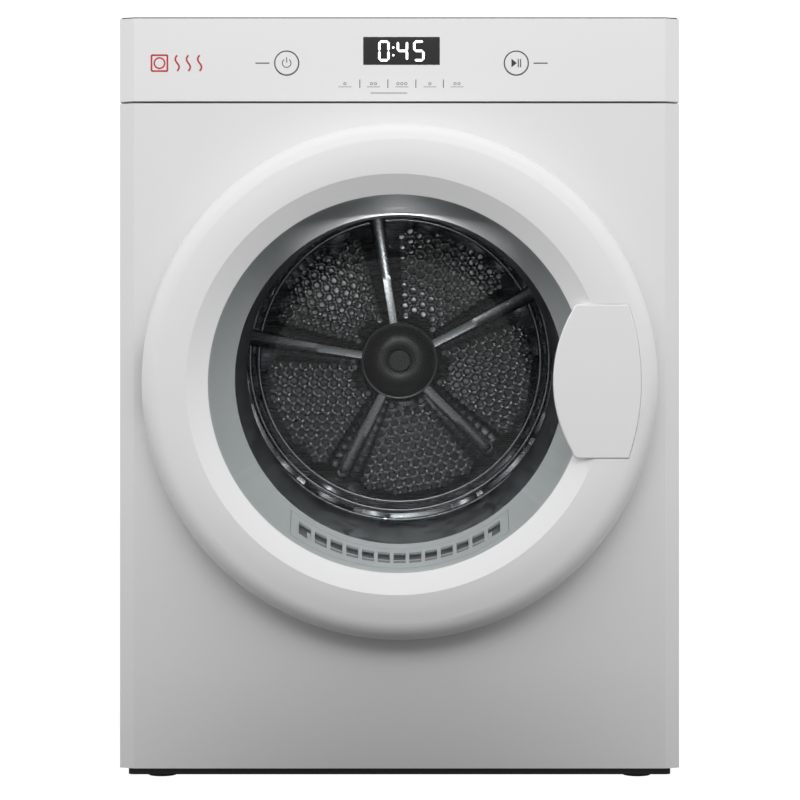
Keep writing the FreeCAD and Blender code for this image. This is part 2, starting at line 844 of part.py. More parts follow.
def door_liner():
    y1 = face_y - ring_back
    y0 = y1 - liner_thick
    bore = glass_radius + liner_bore_margin
    edge = door_radius - back_edge_width - 3 - liner_edge_gap
    plate = disc(0, door_z, edge, y0, y1)
    wall_y = face_y - lip_back + glass_thick
    clamp = disc(glass_shift_x, glass_z, bore + liner_thick, wall_y, y0)
    liner = joined([plate, clamp]).cut(disc(glass_shift_x, glass_z, bore, wall_y - 1, y1 + 1))
    notch = box(-door_radius, hinge_x + arm_reach + 5, y0 - 1, y1 + 1,
                door_z - hinge_notch_half_height, door_z + hinge_notch_half_height)
    liner = liner.cut(notch)
    radius = door_radius - liner_screw_inset
    for angle in liner_screw_angles():
        x = radius * math.cos(math.radians(angle))
        z = door_z + radius * math.sin(math.radians(angle))
        liner = liner.cut(disc(x, z, screw_stem_radius, y0 - 1, y1 + 1))
    return liner


def door_screws():
    screws = []
    radius = door_radius - liner_screw_inset
    y1 = face_y - ring_back
    for angle in liner_screw_angles():
        x = radius * math.cos(math.radians(angle))
        z = door_z + radius * math.sin(math.radians(angle))
        head = disc(x, z, screw_head_radius, y1, y1 + liner_screw_head)
        stem = disc(x, z, screw_stem_radius, y1 - liner_thick - screw_length, y1)
        screws.append(joined([head, stem]))
    return Part.makeCompound(screws)


def door_seal():
    y0 = face_y - ring_back
    inner = glass_radius + seal_inset
    return ring(glass_shift_x, glass_z, inner + seal_width, inner, y0, face_y - gap)


def handle_solid(grow, y0, y1):
    """The handle's outline: a bowed inner edge, straight ends and a round outer edge."""
    top = handle_half_height + grow
    reach = glass_radius + glass_shift_x - handle_reach + 2.5 - grow
    corner = reach + handle_corner_drop
    radius = handle_corner_radius
    outer = door_radius - handle_outer_inset + grow
    end_x = math.sqrt(outer * outer - top * top)
    start = V(corner + radius, y0, door_z + top)
    turn = V(corner + radius * 0.2, y0, door_z + top - radius * 0.4)
    rise = V(corner - radius * 0.05, y0, door_z + top - radius)
    edges = [Part.makeLine(V(end_x, y0, door_z + top), start),
             Part.Arc(start, turn, rise).toShape()]
    low = V(rise.x, y0, 2 * door_z - rise.z)
    low_turn = V(turn.x, y0, 2 * door_z - turn.z)
    low_start = V(start.x, y0, door_z - top)
    edges.append(Part.Arc(rise, V(reach, y0, door_z), low).toShape())
    edges.append(Part.Arc(low, low_turn, low_start).toShape())
    edges.append(Part.makeLine(low_start, V(end_x, y0, door_z - top)))
    edges.append(Part.Arc(V(end_x, y0, door_z - top), V(outer, y0, door_z),
                          V(end_x, y0, door_z + top)).toShape())
    return Part.Face(Part.Wire(edges)).extrude(V(0, y1 - y0, 0))


def door_handle():
    front = face_y - door_proud
    plate = handle_solid(0, front, front + handle_thick - handle_gap)
    rim = [edge for edge in plate.Edges if edge.BoundBox.YMax < front + 0.01]
    plate = plate.makeFillet(handle_edge_round, rim)
    pieces = [plate]
    x = door_radius - handle_boss_inset
    for side in (1, -1):
        pieces.append(disc(x, door_z + side * handle_boss_z, handle_boss_radius,
                           front + handle_thick - handle_gap, face_y - ring_back - liner_thick))
    return joined(pieces)


def door_strike():
    x = door_radius - strike_x_inset
    y0 = face_y - ring_back
    return box(x - strike_height / 2, x + strike_height / 2, y0, y0 + strike_thick,
               door_z - strike_width / 2, door_z + strike_width / 2)


def door_catch():
    x = door_radius - strike_x_inset
    body = box(x - strike_height / 2, x + strike_height / 2, face_y + sheet, face_y + catch_depth,
               door_z - strike_width / 2, door_z + strike_width / 2)
    ears = box(x - strike_height / 2, x + strike_height / 2, face_y + sheet, face_y + sheet + 3,
               door_z - strike_width / 2 - 12, door_z + strike_width / 2 + 12)
    return joined([body, ears])


def hinge_bracket():
    pieces = []
    x0 = hinge_x - bracket_left
    back = face_y + sheet + bracket_thick
    pieces.append(box(x0, hinge_x + hinge_room - bracket_margin, face_y + sheet, back,
                      door_z - bracket_half_height, door_z + bracket_half_height))
    for side in (1, -1):
        z0 = door_z + side * arm_z - arm_thick / 2
        z1 = z0 + arm_thick
        pieces.append(post(hinge_x, hinge_y, knuckle_radius, z0, z1))
        pieces.append(box(hinge_x, hinge_x + arm_reach, hinge_y - arm_leg / 2, hinge_y + arm_leg / 2, z0, z1))
        pieces.append(box(hinge_x + arm_reach - arm_leg, hinge_x + arm_reach, hinge_y, face_y + sheet, z0, z1))
    bracket = joined(pieces)
    return bracket.cut(post(hinge_x, hinge_y, hinge_pin_radius + slip,
                            door_z - bracket_half_height, door_z + bracket_half_height))


def hinge_leaf():
    barrel = post(hinge_x, hinge_y, knuckle_radius, door_z - leaf_half_height, door_z + leaf_half_height)
    low = door_z - leaf_half_height
    high = door_z + leaf_half_height
    arm = box(hinge_x, hinge_x + leaf_reach, hinge_y - leaf_thick / 2, hinge_y + leaf_thick / 2, low, high)
    liner_y = face_y - ring_back - liner_thick
    foot = box(hinge_x + leaf_reach - leaf_thick, hinge_x + leaf_reach, hinge_y, liner_y, low, high)
    tab = box(hinge_x + leaf_reach - leaf_thick, hinge_x + leaf_lap, liner_y - leaf_thick, liner_y, low, high)
    leaf = joined([barrel, arm, foot, tab])
    return leaf.cut(post(hinge_x, hinge_y, hinge_pin_radius, low, high))


def hinge_pin():
    half = arm_z + arm_thick / 2 + 3
    return post(hinge_x, hinge_y, hinge_pin_radius, door_z - half, door_z + half)


# ---- drum ----
def drum_shell():
    back = drum_rear_y
    body = ring(0, drum_z, drum_radius, drum_radius - drum_wall, drum_front_y, back)
    front = ring(0, drum_z, drum_radius, drum_radius - drum_lip_width, drum_front_y, drum_front_y + drum_wall)
    curl = ring(0, drum_z, drum_radius - drum_lip_width + 3, drum_radius - drum_lip_width,
                drum_front_y, drum_front_y + 6)
    return joined([body, front, curl])


def arm_plan(root, root_width, tip, tip_width, angle):
    """A tapering bar that points out from the drum's axis, in X and Z."""
    c = math.cos(math.radians(angle))
    s = math.sin(math.radians(angle))
    points = []
    for along, across in ((root, -root_width / 2), (tip, -tip_width / 2),
                          (tip, tip_width / 2), (root, root_width / 2)):
        points.append((along * c - across * s, drum_z + along * s + across * c))
    return points


def drum_back():
    y1 = drum_rear_y - drum_back_inset
    y0 = y1 - drum_back_thick
    pieces = [disc(0, drum_z, drum_radius - drum_wall, y0, y1)]
    for step in range(arm_count):
        angle = arm_first_angle + step * 360.0 / arm_count
        reach = drum_radius - long_arm_inset
        if 180 < angle < 360:
            reach = drum_radius - short_arm_inset
        pieces.append(prism_y(arm_plan(hub_radius - 8, arm_root_width, reach, arm_tip_width, angle),
                              y0 - arm_height, y0))
    for inset in bead_insets:
        radius = drum_radius - inset
        pieces.append(ring(0, drum_z, radius + bead_width / 2, radius - bead_width / 2, y0 - bead_height, y0))
    pieces.append(disc(0, drum_z, hub_radius - 2, y0 - arm_height, y0))
    return joined(pieces)


def hub_cover():
    y1 = drum_rear_y - drum_back_inset - drum_back_thick - arm_height
    y0 = y1 - hub_thick
    cover = turned(0, drum_z, (0, y0 + hub_dimple_depth),
                   [(hub_dimple_radius, y0 + hub_dimple_depth), (hub_dimple_radius + 2, y0),
                    ((hub_radius - 10, y0 + 1.5), (hub_radius, y1 - 2)), (hub_radius, y1), (0, y1)])
    return cover


def drum_lifters():
    lifters = []
    y0 = drum_front_y + lifter_margin
    y1 = drum_rear_y - lifter_margin
    outer = disc(0, drum_z, drum_radius - drum_wall - slip, y0 - 1, y1 + 1)
    for step in range(lifter_count):
        angle = lifter_first_angle + step * 360.0 / lifter_count
        root = drum_radius - drum_wall - lifter_height
        plan = arm_plan(root, lifter_top, drum_radius + 5, lifter_base, angle)
        lifters.append(prism_y(plan, y0, y1).common(outer))
    return Part.makeCompound(lifters)


def drum_shaft():
    y0 = drum_rear_y - drum_back_inset
    flange = disc(0, drum_z, shaft_flange_radius, y0, y0 + shaft_flange_thick)
    stem = disc(0, drum_z, shaft_radius, y0, rear_bulkhead_y + bulkhead_thick + bearing_length + 3)
    return joined([flange, stem])


# ---- rear of the drum ----
def rear_bulkhead():
    side = half_width - sheet - seam
    y0 = rear_bulkhead_y
    y1 = y0 + bulkhead_thick
    plate = box(-side, side, y0, y1, base_top + sheet, worktop_bottom - sheet)
    plate = plate.cut(disc(0, drum_z, bearing_tube_radius, y0 - 1, y1 + 1))
    plate = plate.cut(disc(spigot_x, spigot_z, spigot_radius + seam, y0 - 1, y1 + 1))
    windows = ring(0, drum_z, inlet_window_outer, inlet_window_inner, y0 - 1, y1 + 1)
    for step in range(arm_count):
        angle = arm_first_angle + step * 360.0 / arm_count
        windows = windows.cut(prism_y(arm_plan(inlet_window_inner - 5, arm_tip_width,
                                               inlet_window_outer + 5, arm_tip_width, angle), y0 - 2, y1 + 2))
    return plate.cut(windows)


def rear_felt_seal():
    outer = drum_radius - rear_felt_inset
    return ring(0, drum_z, outer, outer - rear_felt_width, drum_rear_y + gap, rear_bulkhead_y)


def rear_bearing():
    y0 = rear_bulkhead_y + bulkhead_thick
    flange = disc(0, drum_z, bearing_flange_radius, y0, y0 + bearing_flange_thick)
    tube = disc(0, drum_z, bearing_tube_radius, rear_bulkhead_y, y0 + bearing_length)
    body = joined([flange, tube])
    return body.cut(disc(0, drum_z, shaft_radius + slip, rear_bulkhead_y - 1, y0 + bearing_length + 1))


def heater_duct():
    y0 = rear_bulkhead_y + bulkhead_thick
    y1 = y0 + pan_depth
    pan = disc(0, drum_z, pan_radius, y0, y1)
    channel = box(channel_left, channel_right, y0, y1, channel_low, channel_high)
    body = joined([pan, channel])
    inner_pan = disc(0, drum_z, pan_radius - sheet, y0, y1 - sheet)
    inner_channel = box(channel_left + sheet, channel_right - sheet, y0, y1 - sheet,
                        channel_low - over, channel_high)
    return body.cut(inner_pan).cut(inner_channel)


def heater_element():
    y0 = rear_bulkhead_y + bulkhead_thick + heater_gap
    y1 = y0 + heater_depth
    z0 = heater_rods[0] - heater_margin
    z1 = heater_rods[-1] + heater_margin
    left = channel_left + sheet
    right = channel_right - sheet
    pieces = [box(left, left + heater_plate, y0, y1, z0, z1),
              box(right - heater_plate, right, y0, y1, z0, z1)]
    for z in heater_rods:
        start = V(left + heater_plate, (y0 + y1) / 2, z)
        pieces.append(Part.makeCylinder(heater_rod_radius, right - left - 2 * heater_plate, start, V(1, 0, 0)))
    return joined(pieces)


def thermostats():
    y0 = rear_bulkhead_y + bulkhead_thick + pan_depth
    x = (channel_left + channel_right) / 2
    return Part.makeCompound([disc(x, z, thermostat_radius, y0, y0 + thermostat_thick)
                              for z in [heater_rods[-1] + rise for rise in thermostat_rises]])


# ---- drive ----
def motor_body():
    y0 = face_y + motor_front
    y1 = y0 + motor_length
    body = disc(motor_x, motor_z, motor_radius, y0, y1)
    body = body.cut(disc(motor_x, motor_z, motor_cavity_radius, y0 + motor_bell, y1 - motor_bell))
    return body.cut(disc(motor_x, motor_z, motor_shaft_radius + slip, y0 - 1, y1 + 1))


def motor_shaft():
    y0 = face_y + motor_front
    y1 = y0 + motor_length
    shaft = disc(motor_x, motor_z, motor_shaft_radius, bulkhead_y + bulkhead_thick + wheel_margin,
                 face_y + pulley_front + pulley_width)
    core = disc(motor_x, motor_z, rotor_radius, y0 + motor_bell + 3, y1 - motor_bell - 3)
    return joined([shaft, core])


def motor_pulley():
    y0 = face_y + pulley_front
    y1 = y0 + pulley_width
    side = (pulley_width - belt_width) / 2 - seam
    pulley = disc(motor_x, motor_z, pulley_radius, y0, y1)
    front_rim = disc(motor_x, motor_z, pulley_radius + pulley_rim, y0, y0 + side)
    back_rim = disc(motor_x, motor_z, pulley_radius + pulley_rim, y1 - side, y1)
    return joined([pulley, front_rim, back_rim]).cut(disc(motor_x, motor_z, motor_shaft_radius, y0 - 1, y1 + 1))


def belt_front():
    return face_y + pulley_front + (pulley_width - belt_width) / 2


def drive_belt():
    y0 = belt_front()
    y1 = y0 + belt_width
    drum = (0, drum_z)
    motor = (motor_x, motor_z)
    outer = round_belt(drum, drum_radius + gap + belt_thick, motor, pulley_radius + gap + belt_thick, y0, y1)
    inner = round_belt(drum, drum_radius + gap, motor, pulley_radius + gap, y0 - 1, y1 + 1)
    return outer.cut(inner)


def idler_centre():
    """The idler rests on the outside of the belt's left-hand run."""
    dx = motor_x
    dz = motor_z - drum_z
    length = math.hypot(dx, dz)
    lean = math.acos((drum_radius - pulley_radius) / length)
    angle = math.atan2(dz, dx) - lean
    nx = math.cos(angle)
    nz = math.sin(angle)
    out = pulley_radius + gap + belt_thick + gap + idler_radius
    along_x = -nz
    along_z = nx
    if along_z < 0:
        along_x = nz
        along_z = -nx
    return (motor_x + nx * out + along_x * idler_along, motor_z + nz * out + along_z * idler_along)


def idler_pivot():
    x, z = idler_centre()
    return (x, z - idler_arm_length)


def idler_pulley():
    x, z = idler_centre()
    y0 = belt_front() + (belt_width - idler_width) / 2
    return ring(x, z, idler_radius, idler_axle_radius + slip, y0, y0 + idler_width)


def idler_arm():
    x, z = idler_centre()
    px, pz = idler_pivot()
    y1 = belt_front() + (belt_width - idler_width) / 2 - gap
    y0 = y1 - idler_arm_thick
    half = idler_arm_width / 2
    bar = box(px - half, px + half, y0, y1, pz, z)
    pieces = [bar, disc(px, pz, half, y0, y1), disc(x, z, half, y0, y1),
              disc(x, z, idler_axle_radius, y1, y1 + idler_width + 2 * gap + 2)]
    return joined(pieces).cut(disc(px, pz, idler_axle_radius + slip, y0 - 1, y1 + 1))


def motor_bracket():
    y0 = face_y + motor_front + 6
    y1 = face_y + motor_front + motor_length - 6
    px, pz = idler_pivot()
    left = min(px - 14, motor_x - bracket_half_width)
    pivot_y = belt_front() + (belt_width - idler_width) / 2 - gap - idler_arm_thick
    pieces = [box(left, motor_x + bracket_half_width, y0, y1, base_top, base_top + bracket_plate)]
    for y in (y0, y1 - cradle_thick):
        pieces.append(box(motor_x - bracket_half_width, motor_x + bracket_half_width, y, y + cradle_thick,
                          base_top, motor_z))
    bracket = joined(pieces).cut(disc(motor_x, motor_z, motor_radius, y0 - 1, y1 + 1))
    upright = box(px - 12, px + 12, y1 - cradle_thick, y1, base_top, pz + 12)
    pin = disc(px, pz, idler_axle_radius, y1, pivot_y + idler_arm_thick + 2)
    washer = disc(px, pz, idler_axle_radius + 4, y1, pivot_y - gap)
    return joined([bracket, upright, pin, washer])


def run_capacitor():
    y = face_y + motor_front + capacitor_back
    x = capacitor_x
    can = post(x, y, capacitor_radius, base_top, base_top + capacitor_height)
    return joined([can, post(x, y, capacitor_radius - capacitor_cap, base_top + capacitor_height,
                             base_top + capacitor_height + capacitor_cap)])


def roller_places():
    reach = drum_radius + gap + roller_radius
    x = reach * math.sin(math.radians(roller_angle))
    z = drum_z - reach * math.cos(math.radians(roller_angle))
    return ((-x, z), (x, z))


def drum_roller(x, z):
    y0 = face_y + roller_front
    return ring(x, z, roller_radius, axle_radius + slip, y0, y0 + roller_width)


def roller_axles():
    axles = []
    y0 = bulkhead_y + bulkhead_thick
    roller_y = face_y + roller_front
    for x, z in roller_places():
        axle = disc(x, z, axle_radius, y0, roller_y + roller_width + gap)
        shoulder = disc(x, z, axle_radius + 4, y0, roller_y - gap)
        cap = disc(x, z, axle_radius + 3, roller_y + roller_width + gap, roller_y + roller_width + gap + 2)
        axles.append(joined([axle, shoulder, cap]))
    return Part.makeCompound(axles)


# ---- blower and exhaust ----
def blower_housing():
    y0 = bulkhead_y + bulkhead_thick
    y1 = y0 + blower_depth
    drum = disc(motor_x, motor_z, blower_radius, y0, y1)
    mouth = box(motor_x - blower_radius - blower_mouth, motor_x, y0, y1, outlet_low, outlet_high)
    inside = disc(motor_x, motor_z, blower_radius - wall, y0 + wall, y1 - wall)
    mouth_inside = box(motor_x - blower_radius - blower_mouth - over, motor_x, y0 + wall, y1 - wall,
                       outlet_low + wall, outlet_high - wall)
    body = joined([drum, mouth]).cut(inside).cut(mouth_inside)
    body = body.cut(disc(motor_x, motor_z, blower_inlet_radius, y0 - 1, y0 + wall + 1))
    return body.cut(disc(motor_x, motor_z, motor_shaft_radius + 3, y1 - wall - 1, y1 + 1))


def blower_wheel():
    y0 = bulkhead_y + bulkhead_thick + wheel_margin
    y1 = bulkhead_y + bulkhead_thick + blower_depth - wheel_margin
    plate = disc(motor_x, motor_z, wheel_radius, y1 - 2, y1)
    hub = disc(motor_x, motor_z, 14, y0 + 12, y1)
    rim = ring(motor_x, motor_z, wheel_radius, wheel_radius - wheel_blade_depth, y0, y0 + 2)
    pieces = [plate, hub, rim]
    for step in range(wheel_blades):
        blade = box(motor_x + wheel_radius - wheel_blade_depth + 1, motor_x + wheel_radius - 1,
                    y0, y1, motor_z - wheel_blade_thick / 2, motor_z + wheel_blade_thick / 2)
        blade.rotate(V(motor_x, 0, motor_z), V(0, 1, 0), step * 360.0 / wheel_blades)
        pieces.append(blade)
    return joined(pieces).cut(disc(motor_x, motor_z, motor_shaft_radius, y0 - 1, y1 + 1))


def exhaust_duct():
    y0 = bulkhead_y + bulkhead_thick
    y1 = y0 + blower_depth
    mouth_x = motor_x - blower_radius - blower_mouth
    elbow_outer = box(spigot_x - spigot_radius, mouth_x, y0, y1, outlet_low, outlet_high)
    elbow_inner = box(spigot_x - spigot_radius + spigot_wall, mouth_x + 1, y0 + wall, y1 - wall,
                      outlet_low + wall, outlet_high - wall)
    head_outer = disc(spigot_x, spigot_z, spigot_radius, y0, y1)
    head_inner = disc(spigot_x, spigot_z, spigot_radius - spigot_wall, y0 + wall, y1 + 1)
    end = rear_y + spigot_proud
    pipe_outer = disc(spigot_x, spigot_z, spigot_radius, y1, end)
    pipe_inner = disc(spigot_x, spigot_z, spigot_radius - spigot_wall, y1 - wall, end + 1)
    flange = disc(spigot_x, spigot_z, spigot_radius + spigot_flange, rear_y, rear_y + spigot_flange_thick)
    body = joined([elbow_outer, head_outer, pipe_outer, flange])
    return body.cut(elbow_inner).cut(head_inner).cut(pipe_inner)


def main():
    os.makedirs("parts", exist_ok=True)
    save("base_pan", base_pan())
    for name, x, y in foot_places():
        save("levelling_foot_" + name, levelling_foot(x, y))
    save("front_panel", front_panel())
    save("control_fascia", control_fascia())
    save("display_window", display_window())
    save("power_button", push_button(-1))
    save("start_button", push_button(1))
    save("control_board", control_board())
    save("left_side_panel", side_panel(-1))
    save("right_side_panel", side_panel(1))
    save("rear_panel", rear_panel())
    save("cabinet_screws", cabinet_screws())
    save("worktop", worktop())
    save("worktop_edge_trim", worktop_edge_trim())
    save("cable_gland", cable_gland())
    save("opening_collar", opening_collar())
    save("drum_lamp", drum_lamp())
    save("front_bulkhead", front_bulkhead())
    save("front_felt_seal", front_felt_seal())
    save("lint_filter", lint_filter())
    save("lint_duct", lint_duct())
    save("door_ring", door_ring())
    save("door_glass", door_glass())
    save("door_liner", door_liner())
    save("door_screws", door_screws())
    save("door_seal", door_seal())
    save("door_handle", door_handle())
    save("door_strike", door_strike())
    save("door_catch", door_catch())
    save("hinge_bracket", hinge_bracket())
    save("hinge_leaf", hinge_leaf())
    save("hinge_pin", hinge_pin())
    save("drum_shell", drum_shell())
    save("drum_back", drum_back())
    save("hub_cover", hub_cover())
    save("drum_lifters", drum_lifters())
    save("drum_shaft", drum_shaft())
    save("rear_bulkhead", rear_bulkhead())
    save("rear_felt_seal", rear_felt_seal())
    save("rear_bearing", rear_bearing())
    save("heater_duct", heater_duct())
    save("heater_element", heater_element())
    save("thermostats", thermostats())
    save("motor_body", motor_body())
    save("motor_shaft", motor_shaft())
    save("motor_pulley", motor_pulley())
    save("motor_bracket", motor_bracket())
    save("drive_belt", drive_belt())
    save("idler_pulley", idler_pulley())
    save("idler_arm", idler_arm())
    save("run_capacitor", run_capacitor())
    for name, place in zip(("left", "right"), roller_places()):
        save("drum_roller_" + name, drum_roller(place[0], place[1]))
    save("roller_axles", roller_axles())
    save("blower_housing", blower_housing())
    save("blower_wheel", blower_wheel())
    save("exhaust_duct", exhaust_duct())


main()
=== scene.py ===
"""Looks of a front-loading vented clothes dryer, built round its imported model.

Every size is in metres. The machine stands on the floor at z = 0 and faces -Y.
"""

import json
import logging
import math
from dataclasses import dataclass
from enum import Enum
from typing import Sequence

import bpy
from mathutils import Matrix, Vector
from mathutils.geometry import delaunay_2d_cdt


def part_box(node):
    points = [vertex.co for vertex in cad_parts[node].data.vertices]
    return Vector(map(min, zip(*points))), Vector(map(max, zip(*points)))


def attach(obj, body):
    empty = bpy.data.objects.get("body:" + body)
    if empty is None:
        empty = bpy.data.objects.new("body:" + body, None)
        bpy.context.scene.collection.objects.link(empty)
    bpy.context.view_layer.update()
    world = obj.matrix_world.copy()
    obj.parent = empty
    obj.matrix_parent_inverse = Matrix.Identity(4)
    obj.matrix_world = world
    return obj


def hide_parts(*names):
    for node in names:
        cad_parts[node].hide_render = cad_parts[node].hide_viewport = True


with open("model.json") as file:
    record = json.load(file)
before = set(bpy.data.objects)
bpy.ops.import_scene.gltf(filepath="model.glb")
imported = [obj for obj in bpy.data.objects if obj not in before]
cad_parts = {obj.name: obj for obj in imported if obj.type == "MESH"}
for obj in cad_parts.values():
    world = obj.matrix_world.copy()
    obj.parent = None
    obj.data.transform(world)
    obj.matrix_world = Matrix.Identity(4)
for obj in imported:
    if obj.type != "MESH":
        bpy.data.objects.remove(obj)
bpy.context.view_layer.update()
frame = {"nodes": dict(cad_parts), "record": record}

log = logging.getLogger("dryer")

Vec2 = tuple[float, float]
Vec3 = tuple[float, float, float]

MM = 0.001
DOOR = "door"
CABINET = "cabinet"
DRUM = "drum"


class Grain(Enum):
    """How the surface of a finish was made."""

    SMOOTH = "smooth"
    ORANGE_PEEL = "orange peel"
    SPARKED = "sparked"
    BRUSHED = "brushed"
    SPANGLED = "spangled"
    FIBROUS = "fibrous"


def linear(hex_value: str) -> tuple[float, float, float, float]:
    """Turn an sRGB hex value such as "E0E0E0" to linear RGBA.

    Args:
        hex_value: six hex digits.

    Returns:
        Four floats, with alpha 1.
    """
    out = []
    for start in (0, 2, 4):
        part = int(hex_value[start:start + 2], 16) / 255.0
        out.append(part / 12.92 if part <= 0.04045 else ((part + 0.055) / 1.055) ** 2.4)
    return (out[0], out[1], out[2], 1.0)


def add_node(tree: bpy.types.NodeTree, kind: str, settings: dict | None = None,
             links: dict | None = None) -> bpy.types.Node:
    """Add one shader node with its settings and the sockets that feed it.

    Args:
        tree: the node tree to add to.
        kind: the node's type name.
        settings: property names, or input names, and their values.
        links: input names or numbers and the output sockets that feed them.

    Returns:
        The new node.
    """
    node = tree.nodes.new(kind)
    for name, value in (settings or {}).items():
        if isinstance(name, str) and hasattr(node, name):
            setattr(node, name, value)
        else:
            node.inputs[name].default_value = value
    for name, source in (links or {}).items():
        tree.links.new(source, node.inputs[name])
    return node


@dataclass(frozen=True)
class Finish:
    """One real material and how it was made.

    Attributes:
        name: the material's name.
        colour: its sRGB hex colour.
        worn: the sRGB hex colour that its slow variation drifts towards.
        roughness: middle of the roughness.
        spread: how far the roughness varies.
        grain: how the surface was made.
        grain_mm: real size of one grain, in millimetres.
        relief_mm: height of the relief, in millimetres.
        metallic: 1 for a bare metal.
        coat: weight of a clear coat.
        ior: index of refraction of the surface.
        drift: how strongly the slow colour variation shows.
    """

    name: str
    colour: str
    worn: str
    roughness: float = 0.4
    spread: float = 0.06
    grain: Grain = Grain.SMOOTH
    grain_mm: float = 0.6
    relief_mm: float = 0.01
    metallic: float = 0.0
    coat: float = 0.0
    ior: float = 1.46
    drift: float = 0.35

    def pattern(self, tree: bpy.types.NodeTree, where: bpy.types.NodeSocket) -> bpy.types.NodeSocket:
        """Return the socket that holds the fine grain, from 0 to 1."""
        scale = 1.0 / (self.grain_mm * MM)
        if self.grain is Grain.BRUSHED:
            stretch = add_node(tree, "ShaderNodeMapping", {"Scale": (scale * 0.02, scale, scale)},
                               {"Vector": where})
            return add_node(tree, "ShaderNodeTexNoise", {"Scale": 1.0, "Detail": 3.0},
                            {"Vector": stretch.outputs[0]}).outputs["Fac"]
        if self.grain is Grain.SPANGLED:
            return add_node(tree, "ShaderNodeTexVoronoi", {"Scale": scale},
                            {"Vector": where}).outputs["Color"]
        detail = {Grain.SMOOTH: 1.0, Grain.ORANGE_PEEL: 2.0, Grain.SPARKED: 5.0, Grain.FIBROUS: 8.0}
        return add_node(tree, "ShaderNodeTexNoise",
                        {"Scale": scale, "Detail": detail[self.grain], "Roughness": 0.6},
                        {"Vector": where}).outputs["Fac"]

    def build(self) -> bpy.types.Material:
        """Make the material, or return it if it is already made."""
        found = bpy.data.materials.get(self.name)
        if found:
            return found
        material = bpy.data.materials.new(self.name)
        material.use_nodes = True
        tree = material.node_tree
        tree.nodes.clear()
        where = add_node(tree, "ShaderNodeTexCoord").outputs["Object"]
        fine = self.pattern(tree, where)
        slow = add_node(tree, "ShaderNodeTexNoise", {"Scale": 5.0, "Detail": 3.0}, {"Vector": where})
        amount = add_node(tree, "ShaderNodeMath", {"operation": "MULTIPLY", 1: self.drift},
                          {0: slow.outputs["Fac"]})
        tint = add_node(tree, "ShaderNodeMix", {"data_type": "RGBA"}, {0: amount.outputs[0]})
        tint.inputs[6].default_value = linear(self.colour)
        tint.inputs[7].default_value = linear(self.worn)
        rough = add_node(tree, "ShaderNodeMapRange", {3: self.roughness - self.spread,
                                                      4: self.roughness + self.spread}, {0: fine})
        bump = add_node(tree, "ShaderNodeBump", {"Strength": 0.35, "Distance": self.relief_mm * MM},
                        {"Height": fine})
        shader = add_node(tree, "ShaderNodeBsdfPrincipled",
                          {"Metallic": self.metallic, "Coat Weight": self.coat,
                           "Coat Roughness": 0.12},
                          {"Base Color": tint.outputs[2], "Roughness": rough.outputs[0],
                           "Normal": bump.outputs[0]})
        if self.metallic < 0.5:
            shader.inputs["IOR"].default_value = self.ior
        add_node(tree, "ShaderNodeOutputMaterial", links={"Surface": shader.outputs[0]})
        material.diffuse_color = linear(self.colour)
        return material


@dataclass(frozen=True)
class Glow:
    """A lit segment or lamp, behind a faintly uneven diffuser.

    Attributes:
        name: the material's name.
        colour: its sRGB hex colour.
        strength: how brightly it shines.
    """

    name: str
    colour: str
    strength: float

    def build(self) -> bpy.types.Material:
        """Make the material, or return it if it is already made."""
        found = bpy.data.materials.get(self.name)
        if found:
            return found
        material = bpy.data.materials.new(self.name)
        material.use_nodes = True
        tree = material.node_tree
        tree.nodes.clear()
        where = add_node(tree, "ShaderNodeTexCoord").outputs["Object"]
        noise = add_node(tree, "ShaderNodeTexNoise", {"Scale": 900.0}, {"Vector": where})
        rough = add_node(tree, "ShaderNodeMapRange", {3: 0.3, 4: 0.4}, {0: noise.outputs["Fac"]})
        shader = add_node(tree, "ShaderNodeBsdfPrincipled",
                          {"Base Color": linear(self.colour), "Emission Color": linear(self.colour),
                           "Emission Strength": self.strength}, {"Roughness": rough.outputs[0]})
        add_node(tree, "ShaderNodeOutputMaterial", links={"Surface": shader.outputs[0]})
        return material


